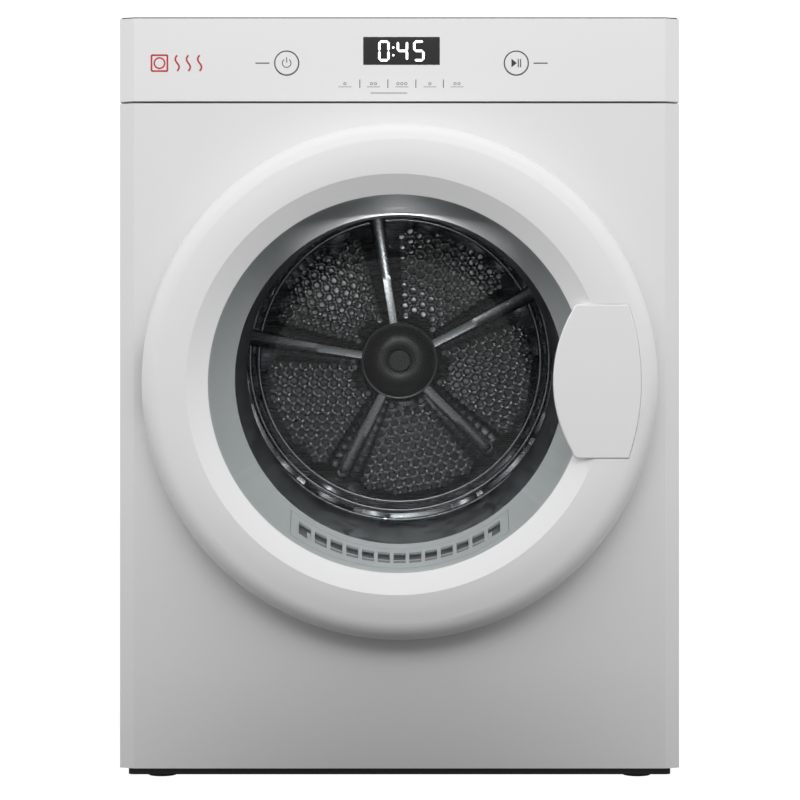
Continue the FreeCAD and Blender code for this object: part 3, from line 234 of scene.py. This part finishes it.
@dataclass(frozen=True)
class ClearGlass:
    """Pressed soda-lime glass, thin enough to show what is behind it unbent.

    Attributes:
        name: the material's name.
        tint: the sRGB hex colour that one surface lets through.
        roughness: least roughness of its reflection.
        face_on: share of light reflected face on.
        glancing: share of light reflected at a glancing angle.
    """

    name: str
    tint: str
    roughness: float
    face_on: float = 0.012
    glancing: float = 0.8

    def build(self) -> bpy.types.Material:
        """Make the material, or return it if it is already made."""
        found = bpy.data.materials.get(self.name)
        if found:
            return found
        material = bpy.data.materials.new(self.name)
        material.use_nodes = True
        tree = material.node_tree
        tree.nodes.clear()
        where = add_node(tree, "ShaderNodeTexCoord").outputs["Object"]
        # pressing leaves the face very slightly wavy, so highlights wander a little
        wave = add_node(tree, "ShaderNodeTexNoise", {"Scale": 12.0, "Detail": 1.0}, {"Vector": where})
        bump = add_node(tree, "ShaderNodeBump", {"Strength": 0.15, "Distance": 0.3 * MM},
                        {"Height": wave.outputs["Fac"]})
        rough = add_node(tree, "ShaderNodeMapRange", {3: self.roughness, 4: self.roughness + 0.03},
                         {0: wave.outputs["Fac"]})
        clear = add_node(tree, "ShaderNodeBsdfTransparent", {"Color": linear(self.tint)})
        gloss = add_node(tree, "ShaderNodeBsdfGlossy", {}, {"Roughness": rough.outputs[0],
                                                            "Normal": bump.outputs[0]})
        # reflectance is kept low face on, and rises steeply at a glancing angle
        facing = add_node(tree, "ShaderNodeLayerWeight", {"Blend": 0.5})
        steep = add_node(tree, "ShaderNodeMath", {"operation": "POWER", 1: 4.0},
                         {0: facing.outputs["Facing"]})
        share = add_node(tree, "ShaderNodeMapRange", {3: self.face_on, 4: self.glancing},
                         {0: steep.outputs[0]})
        mixed = add_node(tree, "ShaderNodeMixShader", links={0: share.outputs[0], 1: clear.outputs[0],
                                                             2: gloss.outputs[0]})
        add_node(tree, "ShaderNodeOutputMaterial", links={"Surface": mixed.outputs[0]})
        return material


# Powder enamel on steel sheet: even, with a faint orange peel that softens highlights.
ENAMEL = Finish("white_powder_enamel", "E9E9E9", "E4E4E4", 0.42, 0.04, Grain.ORANGE_PEEL, 1.6,
                0.006, coat=0.1)
# Injection-moulded ABS, polished tool: brighter and a little glossier than the enamel.
ABS_WHITE = Finish("white_moulded_abs", "EEEEEE", "E8E8E8", 0.33, 0.04, Grain.SPARKED, 0.9, 0.003,
                   coat=0.15)
# Melamine laminate over chipboard: fine pearl texture.
LAMINATE = Finish("white_melamine_laminate", "E8E8E7", "E0E0DF", 0.5, 0.07, Grain.SPARKED, 1.2, 0.02)
# Moulded polypropylene, light grey: waxy, low gloss.
GREY_PP = Finish("grey_moulded_polypropylene", "C8CACB", "BABCBE", 0.38, 0.06, Grain.SPARKED, 0.8, 0.008)
# Carbon-filled polypropylene: nearly black with a soft sheen.
BLACK_PP = Finish("black_moulded_polypropylene", "161617", "222223", 0.4, 0.08, Grain.SPARKED, 0.8, 0.012)
# Smoked acrylic over the display: black and mirror smooth.
SMOKED_ACRYLIC = Finish("smoked_acrylic", "050506", "08080A", 0.07, 0.02, Grain.SMOOTH, 4.0, 0.001,
                        ior=1.49)
# Hot-dip galvanised sheet: grey with crystal spangle.
GALVANISED = Finish("galvanised_sheet", "A8ABAD", "8F9294", 0.36, 0.08, Grain.SPANGLED, 9.0, 0.004,
                    metallic=1.0)
# Pressed drum steel, bright annealed: soft mirror with fine brushing.
DRUM_STEEL = Finish("pressed_drum_steel", "7E8082", "5A5C5E", 0.26, 0.07, Grain.BRUSHED, 0.5,
                    0.006, metallic=1.0)
# Zinc-plated fasteners: bright and even.
PLATED = Finish("zinc_plated_steel", "B5B7BA", "9FA2A6", 0.3, 0.05, Grain.SMOOTH, 0.7, 0.004, metallic=1.0)
# Wool felt, pressed: dull, with loose fibres.
FELT = Finish("pressed_wool_felt", "6A6866", "504E4C", 0.95, 0.04, Grain.FIBROUS, 1.2, 0.5)
# Oil-filled sintered bronze: dark yellow metal.
BRONZE = Finish("sintered_bronze", "8E6B3E", "6F5330", 0.5, 0.1, Grain.SPARKED, 0.4, 0.02, metallic=1.0)
# Heater sheath, oxidised by heat.
OXIDISED = Finish("oxidised_heater_steel", "57504A", "3A3F4A", 0.5, 0.1, Grain.SPARKED, 1.0, 0.01,
                  metallic=1.0)
# Motor shell, dipped black paint over laminations.
MOTOR_PAINT = Finish("dipped_motor_paint", "2B2C2E", "3A3B3D", 0.45, 0.1, Grain.ORANGE_PEEL, 1.2, 0.02)
# EPDM rubber: dull black.
RUBBER = Finish("epdm_rubber", "1A1A1B", "262627", 0.65, 0.08, Grain.SPARKED, 0.5, 0.02, ior=1.5)
# Drawn aluminium can.
ALUMINIUM = Finish("drawn_aluminium", "C9CACB", "B5B6B8", 0.3, 0.06, Grain.BRUSHED, 0.5, 0.004,
                   metallic=1.0)
# Glass-fibre circuit board under green lacquer.
CIRCUIT = Finish("lacquered_circuit_board", "1C4A2A", "143A20", 0.35, 0.06, Grain.SPARKED, 0.7, 0.004)
# Screen-printed ink on the panel.
GREY_INK = Finish("dark_screen_ink", "2C2C2E", "38383A", 0.5, 0.05, Grain.SMOOTH, 0.4, 0.002)
RED_INK = Finish("red_screen_ink", "C8202C", "B81C28", 0.45, 0.05, Grain.SMOOTH, 0.4, 0.002)
# Rims of the punched holes, burnished by the clothes.
HOLE_RIM = Finish("burnished_hole_rim", "8C8E90", "6E7072", 0.24, 0.05, Grain.SMOOTH, 0.8, 0.002,
                  metallic=1.0)
SEGMENT = Glow("lit_display_segment", "FFFFFF", 1.6)
LENS = Glow("lamp_diffuser", "B9BABB", 0.05)
GLASS = ClearGlass("pressed_door_glass", "F4F5F5", 0.02)

FINISH_OF_SLOT = {
    "white_enamel": ENAMEL, "white_moulding": ABS_WHITE, "white_laminate": LAMINATE,
    "grey_moulding": GREY_PP, "black_moulding": BLACK_PP, "black_window": SMOKED_ACRYLIC,
    "circuit_board": CIRCUIT, "zinc_sheet": GALVANISED, "screw_steel": PLATED,
    "lamp_lens": LENS, "felt": FELT, "sintered_bronze": BRONZE, "heater_steel": OXIDISED,
    "motor_paint": MOTOR_PAINT, "belt_rubber": RUBBER, "can_aluminium": ALUMINIUM,
    "door_glass": GLASS, "seal_rubber": RUBBER, "drum_steel": DRUM_STEEL,
}


def mesh_piece(name: str, verts: Sequence[Vec3], faces: Sequence[Sequence[int]],
               finish: Finish | Glow, body: str, smooth: bool = True) -> bpy.types.Object:
    """Make one mesh object, dress it and set it riding.

    Args:
        name: the piece's name.
        verts: corners, in metres.
        faces: corner numbers of each face.
        finish: what it is made of.
        body: the body that it rides on.
        smooth: whether its faces shade smoothly up to 35 degrees.

    Returns:
        The new object.
    """
    mesh = bpy.data.meshes.new(name)
    mesh.from_pydata([tuple(v) for v in verts], [], [list(f) for f in faces])
    mesh.validate()
    mesh.materials.append(finish.build())
    if smooth:
        mesh.shade_smooth()
        mesh.set_sharp_from_angle(angle=math.radians(35))
    piece = bpy.data.objects.new(name, mesh)
    bpy.context.scene.collection.objects.link(piece)
    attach(piece, body)
    log.info("piece %s: %d faces on %s", name, len(mesh.polygons), body)
    return piece


class Solid:
    """Corners and faces gathered into one mesh."""

    def __init__(self) -> None:
        """Start empty."""
        self.verts: list[Vec3] = []
        self.faces: list[tuple[int, ...]] = []

    def turned(self, x: float, z: float, profile: Sequence[Vec2], steps: int) -> None:
        """Add a surface turned about the Y line through x, z.

        Args:
            x: the axis's X.
            z: the axis's Z.
            profile: radius and Y of each ring, from one end to the other.
            steps: sides round the axis.
        """
        start = len(self.verts)
        for radius, y in profile:
            for step in range(steps):
                angle = 2 * math.pi * step / steps
                self.verts.append((x + radius * math.cos(angle), y, z + radius * math.sin(angle)))
        for row in range(len(profile) - 1):
            a = start + row * steps
            b = a + steps
            for step in range(steps):
                after = (step + 1) % steps
                self.faces.append((a + step, b + step, b + after, a + after))

    def plate(self, outline: Sequence[Vec2], y0: float, y1: float) -> None:
        """Add a closed flat plate between y0 and y1 with an outline in X and Z."""
        start = len(self.verts)
        count = len(outline)
        self.verts += [(x, y0, z) for x, z in outline]
        self.verts += [(x, y1, z) for x, z in outline]
        self.faces.append(tuple(range(start, start + count)))
        self.faces.append(tuple(range(start + 2 * count - 1, start + count - 1, -1)))
        for step in range(count):
            after = (step + 1) % count
            self.faces.append((start + step, start + count + step, start + count + after, start + after))

    def piece(self, name: str, finish: Finish | Glow, body: str, slot: str,
              smooth: bool = True) -> bpy.types.Object:
        """Make the gathered mesh an object."""
        return mesh_piece(name, self.verts, self.faces, finish, body, smooth)


@dataclass
class DrumBack:
    """The drum's pressed back: a perforated disc with ribs, beads and a boss."""

    hole_pitch: float = 12.6 * MM
    hole_radius: float = 3.4 * MM
    rim_height: float = 1.0 * MM
    rim_width: float = 1.5 * MM
    inner_row: float = 57 * MM
    outer_row: float = 168 * MM
    rib_count: int = 5
    rib_first: float = 27.0
    rib_root: float = 15 * MM
    rib_tip: float = 24 * MM
    rib_height: float = 7 * MM
    rib_clear: float = 9 * MM
    short_reach: float = 168 * MM
    long_reach: float = 214 * MM
    bead_radii: tuple[float, ...] = (179 * MM, 190 * MM, 202 * MM)
    bead_width: float = 7 * MM
    bead_height: float = 3.2 * MM
    sheet: float = 1.2 * MM
    sides: int = 12

    def __post_init__(self) -> None:
        """Read the disc's place from the model."""
        low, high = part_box("drum_back")
        self.radius = (high[0] - low[0]) / 2
        self.x = (high[0] + low[0]) / 2
        self.z = (high[2] + low[2]) / 2
        self.back_y = high[1]
        self.face_y = high[1] - 2 * MM

    def rib_angles(self) -> list[float]:
        """Angles of the ribs, in radians."""
        return [math.radians(self.rib_first + 360.0 * step / self.rib_count)
                for step in range(self.rib_count)]

    def reach(self, angle: float) -> float:
        """How far the rib at an angle runs out."""
        return self.short_reach if math.sin(angle) < -0.1 else self.long_reach

    def rib_half_width(self, along: float) -> float:
        """Half of a rib's width at a distance from the axis."""
        share = max(0.0, min(1.0, (along - 0.04) / (self.long_reach - 0.04)))
        return (self.rib_root + (self.rib_tip - self.rib_root) * share * share) / 2

    def holes(self) -> list[Vec2]:
        """Centres of the holes, from the axis, staggered row by row in each sector."""
        found = []
        angles = self.rib_angles()
        step_angle = 2 * math.pi / self.rib_count
        for angle in angles:
            middle = angle + step_angle / 2
            ux, uz = math.cos(middle), math.sin(middle)
            row_step = self.hole_pitch * math.sqrt(3) / 2
            for row in range(40):
                along = row * row_step
                for column in range(-14, 15):
                    across = (column + 0.5 * (row % 2)) * self.hole_pitch
                    x = along * ux - across * uz
                    z = along * uz + across * ux
                    radius = math.hypot(x, z)
                    if not self.inner_row < radius < self.outer_row:
                        continue
                    turn = abs((math.atan2(z, x) - middle + math.pi) % (2 * math.pi) - math.pi)
                    side = radius * math.sin(step_angle / 2 - turn)
                    if turn > step_angle / 2 or side < self.rib_half_width(radius) + self.rib_clear:
                        continue
                    found.append((x, z))
        return found

    def sheet_piece(self) -> bpy.types.Object:
        """Make the perforated sheet."""
        verts: list[Vector] = []
        edges: list[tuple[int, int]] = []

        def loop(x: float, z: float, radius: float, count: int) -> None:
            """Add one ring of constraint edges."""
            start = len(verts)
            for step in range(count):
                angle = 2 * math.pi * step / count
                verts.append(Vector((x + radius * math.cos(angle), z + radius * math.sin(angle))))
                edges.append((start + step, start + (step + 1) % count))

        loop(0, 0, self.radius, 128)
        centres = self.holes()
        for x, z in centres:
            loop(x, z, self.hole_radius, self.sides)
        flat, _, faces, *_ = delaunay_2d_cdt(verts, edges, [], 1, 1e-7)
        cells: dict[tuple[int, int], list[Vec2]] = {}
        for x, z in centres:
            cells.setdefault((round(x / 0.02), round(z / 0.02)), []).append((x, z))
        kept = []
        limit = self.hole_radius * 0.999
        for face in faces:
            x = sum(flat[i].x for i in face) / len(face)
            z = sum(flat[i].y for i in face) / len(face)
            key = (round(x / 0.02), round(z / 0.02))
            inside = False
            for dx in (-1, 0, 1):
                for dz in (-1, 0, 1):
                    for hx, hz in cells.get((key[0] + dx, key[1] + dz), ()):
                        inside = inside or math.hypot(x - hx, z - hz) < limit
            if not inside:
                kept.append(tuple(face))
        solid = Solid()
        solid.verts = [(self.x + v.x, self.face_y, self.z + v.y) for v in flat]
        solid.faces = kept
        piece = solid.piece("perforated_back", DRUM_STEEL, DRUM, "drum_steel")
        thick = piece.modifiers.new("sheet", "SOLIDIFY")
        thick.thickness = self.sheet
        thick.offset = 1.0
        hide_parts("drum_back")
        return piece

    def rim_piece(self) -> None:
        """Make the raised rim that the punch leaves round every hole."""
        solid = Solid()
        y = self.face_y
        for x, z in self.holes():
            profile = [(self.hole_radius + self.rim_width, y + 0.0002),
                       (self.hole_radius + self.rim_width * 0.75, y - self.rim_height * 0.8),
                       (self.hole_radius + self.rim_width * 0.35, y - self.rim_height),
                       (self.hole_radius, y - self.rim_height * 0.5),
                       (self.hole_radius * 0.97, y + self.sheet)]
            solid.turned(self.x + x, self.z + z, profile, self.sides)
        solid.piece("hole_rims", HOLE_RIM, DRUM, "drum_steel")

    def rib_pieces(self) -> None:
        """Make the ribs, with rounded shoulders and rounded tips."""
        sections = 24
        for number, angle in enumerate(self.rib_angles()):
            solid = Solid()
            ux, uz = math.cos(angle), math.sin(angle)
            reach = self.reach(angle)
            shoulder = ((-1.0, 0.0), (-0.97, 0.45), (-0.82, 0.85), (-0.6, 1.0), (0.0, 0.94),
                        (0.6, 1.0), (0.82, 0.85), (0.97, 0.45), (1.0, 0.0))
            for step in range(sections + 1):
                along = 0.036 + (reach - 0.036) * step / sections
                tail = max(0.0, (along - (reach - 0.014)) / 0.014)
                scale = math.sqrt(max(0.0, 1 - tail * tail)) if tail > 0 else 1.0
                scale = max(scale, 0.05)
                half = self.rib_half_width(along) * scale
                for across, up in shoulder:
                    x = along * ux - across * half * uz
                    z = along * uz + across * half * ux
                    solid.verts.append((self.x + x, self.face_y - up * self.rib_height * scale ** 0.5,
                                        self.z + z))
            row = len(shoulder)
            for step in range(sections):
                for side in range(row - 1):
                    a = step * row + side
                    solid.faces.append((a, a + 1, a + row + 1, a + row))
            solid.piece(f"drum_rib_{number + 1}", DRUM_STEEL, DRUM, "drum_steel")

    def bead_piece(self) -> None:
        """Make the pressed beads round the rim and the step round the boss."""
        solid = Solid()
        for radius in self.bead_radii:
            profile = []
            for step in range(9):
                angle = math.pi * step / 8
                profile.append((radius - self.bead_width / 2 * math.cos(angle),
                                self.face_y - self.bead_height * math.sin(angle)))
            solid.turned(self.x, self.z, profile, 160)
        solid.turned(self.x, self.z, [(0.052, self.face_y), (0.0505, self.face_y - 0.004),
                                      (0.047, self.face_y - 0.007), (0.03, self.face_y - 0.0072)], 96)
        solid.piece("drum_beads", DRUM_STEEL, DRUM, "drum_steel")

    def build(self) -> None:
        """Make every piece of the drum's back."""
        self.sheet_piece()
        self.rim_piece()
        self.rib_pieces()
        self.bead_piece()


@dataclass
class Hub:
    """The cap over the drum's shaft, with its bright trim ring."""

    trim: float = 1.4 * MM

    def build(self) -> None:
        """Make the ring round the cap."""
        low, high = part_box("hub_cover")
        radius = (high[0] - low[0]) / 2
        solid = Solid()
        y = high[1] - 2.5 * MM
        solid.turned((low[0] + high[0]) / 2, (low[2] + high[2]) / 2,
                     [(radius + 0.0002, y + 0.002), (radius + 0.0002, y), (radius + self.trim, y - 0.0006),
                      (radius + self.trim * 1.6, y + 0.001), (radius + self.trim * 1.6, y + 0.003)], 96)
        solid.piece("hub_trim_ring", PLATED, DRUM, "screw_steel")


# Segments run a to g, clockwise from the top, with g in the middle.
SEGMENTS_OF_FIGURE = {"0": "abcdef", "4": "fgbc", "5": "afgcd"}


@dataclass
class Display:
    """Lit figures behind the display window."""

    figure_width: float = 12.2 * MM
    figure_height: float = 22.4 * MM
    stroke: float = 2.5 * MM
    proud: float = 0.15 * MM
    thick: float = 0.1 * MM
    join: float = 0.25 * MM
    figures: tuple[tuple[str, float], ...] = (("0", -18.8 * MM), ("4", 1.0 * MM), ("5", 18.6 * MM))
    colon_x: float = -8.8 * MM
    colon_heights: tuple[float, ...] = (-4.6 * MM, 3.6 * MM)
    colon_radius: float = 1.2 * MM
    colon_sides: int = 12

    def __post_init__(self) -> None:
        """Read the window's place."""
        low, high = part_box("display_window")
        self.x = (low[0] + high[0]) / 2
        self.z = (low[2] + high[2]) / 2
        self.y = low[1] - self.proud

    def bar(self, solid: Solid, x0: float, z0: float, x1: float, z1: float) -> None:
        """Add one upright or level segment with pointed ends."""
        half = self.stroke / 2
        if abs(x1 - x0) > abs(z1 - z0):
            outline = [(x0, z0), (x0 + half, z0 - half), (x1 - half, z0 - half), (x1, z0),
                       (x1 - half, z0 + half), (x0 + half, z0 + half)]
        else:
            outline = [(x0, z0), (x0 + half, z0 + half), (x0 + half, z1 - half), (x0, z1),
                       (x0 - half, z1 - half), (x0 - half, z0 + half)]
        solid.plate(outline, self.y, self.y + self.thick)

    def figure(self, solid: Solid, symbol: str, x: float) -> None:
        """Add one figure whose middle is at x."""
        half = self.figure_width / 2 - self.stroke / 2
        tall = self.figure_height / 2 - self.stroke / 2
        g = self.join
        places = {"a": (-half + g, tall, half - g, tall), "g": (-half + g, 0, half - g, 0),
                  "d": (-half + g, -tall, half - g, -tall), "f": (-half, g, -half, tall - g),
                  "b": (half, g, half, tall - g), "e": (-half, -tall + g, -half, -g),
                  "c": (half, -tall + g, half, -g)}
        for letter in SEGMENTS_OF_FIGURE[symbol]:
            x0, z0, x1, z1 = places[letter]
            self.bar(solid, x + x0, self.z + z0, x + x1, self.z + z1)

    def build(self) -> None:
        """Make the time that the display shows."""
        solid = Solid()
        for symbol, x in self.figures:
            self.figure(solid, symbol, self.x + x)
        for dz in self.colon_heights:
            turns = [2 * math.pi * step / self.colon_sides for step in range(self.colon_sides)]
            solid.plate([(self.x + self.colon_x + self.colon_radius * math.cos(turn),
                          self.z + dz + self.colon_radius * math.sin(turn)) for turn in turns],
                        self.y, self.y + self.thick)
        solid.piece("display_figures", SEGMENT, CABINET, "black_window", smooth=False)


@dataclass
class PanelPrint:
    """Marks printed on the control panel and keys, all generic."""

    ink: float = 0.08 * MM
    stroke: float = 0.55 * MM
    outline_radius: float = 13.1 * MM
    outline_stroke: float = 0.9 * MM
    symbol_x: float = -257 * MM
    symbol_drop: float = 48 * MM
    symbol_half: float = 8.5 * MM
    symbol_stroke: float = 1.9 * MM
    drum_radius: float = 5.6 * MM
    drum_stroke: float = 1.7 * MM
    wave_places: tuple[float, ...] = (19.0, 31.0, 43.0)
    wave_swing: float = 2.2 * MM
    wave_parts: int = 8
    marks_drop: float = 70 * MM
    mark_places: tuple[float, ...] = (-58.5, -28.0, 2.5, 32.5, 61.5)
    bar_places: tuple[float, ...] = (-42.5, -12.5, 17.5, 47.0)

    def __post_init__(self) -> None:
        """Read the panel's and keys' places."""
        low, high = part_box("control_fascia")
        self.y = low[1]
        self.top = high[2]
        self.keys = {}
        for node in ("power_button", "start_button"):
            k_low, k_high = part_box(node)
            self.keys[node] = ((k_low[0] + k_high[0]) / 2, k_low[1], (k_low[2] + k_high[2]) / 2)

    def arc(self, solid: Solid, x: float, z: float, radius: float, start: float, end: float,
            y: float, stroke: float | None = None) -> None:
        """Add an arc of ink from one angle to another, in degrees."""
        half = (stroke or self.stroke) / 2
        count = max(6, int(abs(end - start) / 8))
        outer = []
        inner = []
        for step in range(count + 1):
            angle = math.radians(start + (end - start) * step / count)
            outer.append((x + (radius + half) * math.cos(angle), z + (radius + half) * math.sin(angle)))
            inner.append((x + (radius - half) * math.cos(angle), z + (radius - half) * math.sin(angle)))
        for step in range(count):
            solid.plate([outer[step], outer[step + 1], inner[step + 1], inner[step]], y - self.ink, y)

    def line(self, solid: Solid, x0: float, z0: float, x1: float, z1: float, y: float,
             stroke: float | None = None) -> None:
        """Add a straight stroke of ink."""
        half = (stroke or self.stroke) / 2
        length = math.hypot(x1 - x0, z1 - z0)
        nx, nz = -(z1 - z0) / length * half, (x1 - x0) / length * half
        solid.plate([(x0 + nx, z0 + nz), (x0 - nx, z0 - nz), (x1 - nx, z1 - nz), (x1 + nx, z1 + nz)],
                    y - self.ink, y)

    def key_marks(self) -> None:
        """Make the power and start marks, which ride on their keys."""
        x, y, z = self.keys["power_button"]
        solid = Solid()
        self.arc(solid, x, z, 4.6 * MM, 125, 415, y, 0.9 * MM)
        self.line(solid, x, z + 0.6 * MM, x, z + 6.0 * MM, y, 0.9 * MM)
        solid.piece("power_mark", GREY_INK, "power_key", "white_moulding", smooth=False)
        x, y, z = self.keys["start_button"]
        solid = Solid()
        solid.plate([(x - 5.2 * MM, z - 4.6 * MM), (x + 0.6 * MM, z), (x - 5.2 * MM, z + 4.6 * MM)],
                    y - self.ink, y)
        for dx in (2.1, 4.6):
            self.line(solid, x + dx * MM, z - 4.4 * MM, x + dx * MM, z + 4.4 * MM, y, 1.1 * MM)
        solid.piece("start_mark", GREY_INK, "start_key", "white_moulding", smooth=False)

    def key_rings(self) -> None:
        """Make the dark line round each key."""
        solid = Solid()
        for x, _, z in self.keys.values():
            self.arc(solid, x, z, self.outline_radius, 0, 360, self.y, self.outline_stroke)
        solid.piece("key_outlines", GREY_INK, CABINET, "white_moulding", smooth=False)

    def drying_symbol(self) -> None:
        """Make the tumble-drying care symbol, in red, where a badge would be."""
        solid = Solid()
        x = self.symbol_x
        z = self.top - self.symbol_drop
        half = self.symbol_half
        for x0, z0, x1, z1 in ((-1, -1, 1, -1), (1, -1, 1, 1), (1, 1, -1, 1), (-1, 1, -1, -1)):
            self.line(solid, x + x0 * half, z + z0 * half, x + x1 * half, z + z1 * half, self.y,
                      self.symbol_stroke)
        self.arc(solid, x, z, self.drum_radius, 0, 360, self.y, self.drum_stroke)
        for dx in self.wave_places:
            for part in range(self.wave_parts):
                x0 = x + dx * MM + self.wave_swing * math.sin(2 * math.pi * part / self.wave_parts)
                x1 = x + dx * MM + self.wave_swing * math.sin(2 * math.pi * (part + 1) / self.wave_parts)
                z0 = z - half + 2 * half * part / self.wave_parts
                self.line(solid, x0, z0, x1, z0 + 2 * half / self.wave_parts, self.y, self.symbol_stroke)
        solid.piece("drying_symbol", RED_INK, CABINET, "white_moulding", smooth=False)

    def programme_marks(self) -> None:
        """Make the row of programme pictures and the bars between them."""
        solid = Solid()
        z = self.top - self.marks_drop
        for number, place in enumerate(self.mark_places):
            x = place * MM
            for dot in range(number % 3 + 1):
                self.arc(solid, x + (dot - (number % 3) / 2) * 4.2 * MM, z, 1.3 * MM, 0, 360, self.y)
            self.line(solid, x - 7 * MM, z - 3.4 * MM, x + 7 * MM, z - 3.4 * MM, self.y, 0.45 * MM)
        for place in self.bar_places:
            self.line(solid, place * MM, z - 4.5 * MM, place * MM, z + 4.5 * MM, self.y, 0.8 * MM)
        self.line(solid, -31 * MM, z - 10 * MM, 8 * MM, z - 10 * MM, self.y, 0.7 * MM)
        for node, side in (("power_button", -1), ("start_button", 1)):
            x, _, kz = self.keys[node]
            x0 = x + side * 26 * MM
            self.line(solid, x0 - 7.5 * MM, kz, x0 + 7.5 * MM, kz, self.y, 1.2 * MM)
        solid.piece("programme_marks", GREY_INK, CABINET, "white_moulding", smooth=False)

    def build(self) -> None:
        """Print every mark."""
        self.key_marks()
        self.key_rings()
        self.drying_symbol()
        self.programme_marks()


@dataclass
class Studio:
    """Camera, floor and soft lights."""

    distance: float = 2.4
    frame_width: float = 0.8564
    eye_height: float = 0.4084
    sensor: float = 36.0
    seen_strength: float = 1.1
    cast_strength: float = 0.95
    floor_half: float = 6.0
    floor_strength: float = 1.05
    flag_ahead: float = 0.36
    flag_half: float = 0.26
    flag_top: float = 0.31
    front_power: float = 4.0
    drum_power: float = 0.6

    def __post_init__(self) -> None:
        """Find the front of the cabinet."""
        self.front_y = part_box("front_panel")[0][1]

    def camera(self) -> None:
        """Set the camera square on to the door."""
        data = bpy.data.cameras.new("camera")
        data.sensor_width = self.sensor
        data.lens = self.sensor * self.distance / self.frame_width
        data.clip_end = 50
        camera = bpy.data.objects.new("camera", data)
        camera.location = (0.0005, self.front_y - self.distance, self.eye_height)
        camera.rotation_euler = (math.radians(90), 0, 0)
        bpy.context.scene.collection.objects.link(camera)
        bpy.context.scene.camera = camera

    def lamp(self, name: str, place: Vec3, target: Vec3, size: Vec2, power: float,
             spread: float = 180.0) -> None:
        """Add one rectangular soft light."""
        data = bpy.data.lights.new(name, "AREA")
        data.shape = "RECTANGLE"
        data.size, data.size_y = size
        data.energy = power
        data.spread = math.radians(spread)
        lamp = bpy.data.objects.new(name, data)
        lamp.location = place
        lamp.rotation_euler = (Vector(target) - Vector(place)).to_track_quat("-Z", "Y").to_euler()
        bpy.context.scene.collection.objects.link(lamp)

    def drum_light(self) -> None:
        """Light the drum from the lamp over the opening."""
        low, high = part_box("drum_lamp")
        x, y, z = (low[0] + high[0]) / 2, (low[1] + high[1]) / 2, low[2] - 0.012
        self.lamp("drum_lamp_light", (x, y, z), (x, y + 0.16, z - 0.4), (0.03, 0.012),
                  self.drum_power)

    def world(self) -> None:
        """Set a plain bright surround."""
        world = bpy.data.worlds.new("surround")
        world.use_nodes = True
        tree = world.node_tree
        tree.nodes.clear()
        path = add_node(tree, "ShaderNodeLightPath")
        seen = add_node(tree, "ShaderNodeBackground",
                        {"Color": (1, 1, 1, 1), "Strength": self.seen_strength})
        cast = add_node(tree, "ShaderNodeBackground",
                        {"Color": (1, 1, 1, 1), "Strength": self.cast_strength})
        mixed = add_node(tree, "ShaderNodeMixShader", links={0: path.outputs["Is Camera Ray"],
                                                             1: cast.outputs[0], 2: seen.outputs[0]})
        add_node(tree, "ShaderNodeOutputWorld", links={"Surface": mixed.outputs[0]})
        bpy.context.scene.world = world
        bpy.context.scene.view_settings.view_transform = "Standard"

    def flag(self) -> None:
        """Stand a black card low in front, which holds the light off the foot of the machine."""
        mesh = bpy.data.meshes.new("flag")
        y = self.front_y - self.flag_ahead
        half, top = self.flag_half, self.flag_top
        mesh.from_pydata([(-half, y, 0.001), (half, y, 0.001), (half, y, top), (-half, y, top)], [],
                         [(0, 1, 2, 3)])
        mesh.materials.append(Finish("black_flag_cloth", "050505", "080808", 0.9, 0.02, Grain.FIBROUS,
                                     2.0, 0.1).build())
        flag = bpy.data.objects.new("flag", mesh)
        flag.visible_camera = False
        flag.visible_glossy = False
        bpy.context.scene.collection.objects.link(flag)

    def floor_paint(self) -> bpy.types.Material:
        """Make the floor's paint: it shows as the plain surround, and throws little light up."""
        material = bpy.data.materials.new("pale_floor_paint")
        material.use_nodes = True
        tree = material.node_tree
        tree.nodes.clear()
        path = add_node(tree, "ShaderNodeLightPath")
        bounce = add_node(tree, "ShaderNodeBsdfDiffuse", {"Color": linear("767676")})
        seen = add_node(tree, "ShaderNodeEmission",
                        {"Color": (1, 1, 1, 1), "Strength": self.floor_strength})
        mixed = add_node(tree, "ShaderNodeMixShader", links={0: path.outputs["Is Camera Ray"],
                                                             1: bounce.outputs[0], 2: seen.outputs[0]})
        add_node(tree, "ShaderNodeOutputMaterial", links={"Surface": mixed.outputs[0]})
        return material

    def floor(self) -> None:
        """Lay a pale floor."""
        half = self.floor_half
        mesh = bpy.data.meshes.new("floor")
        mesh.from_pydata([(-half, -half, 0), (half, -half, 0), (half, half, 0), (-half, half, 0)], [],
                         [(0, 1, 2, 3)])
        mesh.materials.append(self.floor_paint())
        floor = bpy.data.objects.new("floor", mesh)
        bpy.context.scene.collection.objects.link(floor)

    def build(self) -> None:
        """Set the whole studio."""
        self.camera()
        self.world()
        self.floor()
        y = self.front_y
        self.lamp("high_front", (0.0, y - 1.8, 1.55), (0, y, 0.7), (2.4, 0.9), self.front_power, 90)
        self.flag()
        self.drum_light()


def dress_model() -> None:
    """Give every carried-over node the finish of its slot."""
    slots = {row["node"]: row["material_slot"] for row in frame["record"]["subparts"]}
    for node, name in slots.items():
        piece = frame["nodes"][node]
        finish = FINISH_OF_SLOT[name].build()
        if piece.data.materials:
            for index in range(len(piece.data.materials)):
                piece.material_slots[index].material = finish
        else:
            piece.data.materials.append(finish)
        log.info("dressed %s as %s", node, finish.name)


def main() -> None:
    """Build the studio and every sub-assembly in order."""
    logging.basicConfig(level=logging.INFO, format="%(name)s: %(message)s")
    Studio().build()
    dress_model()
    DrumBack().build()
    Hub().build()
    Display().build()
    PanelPrint().build()


if __name__ == "__main__":
    main()
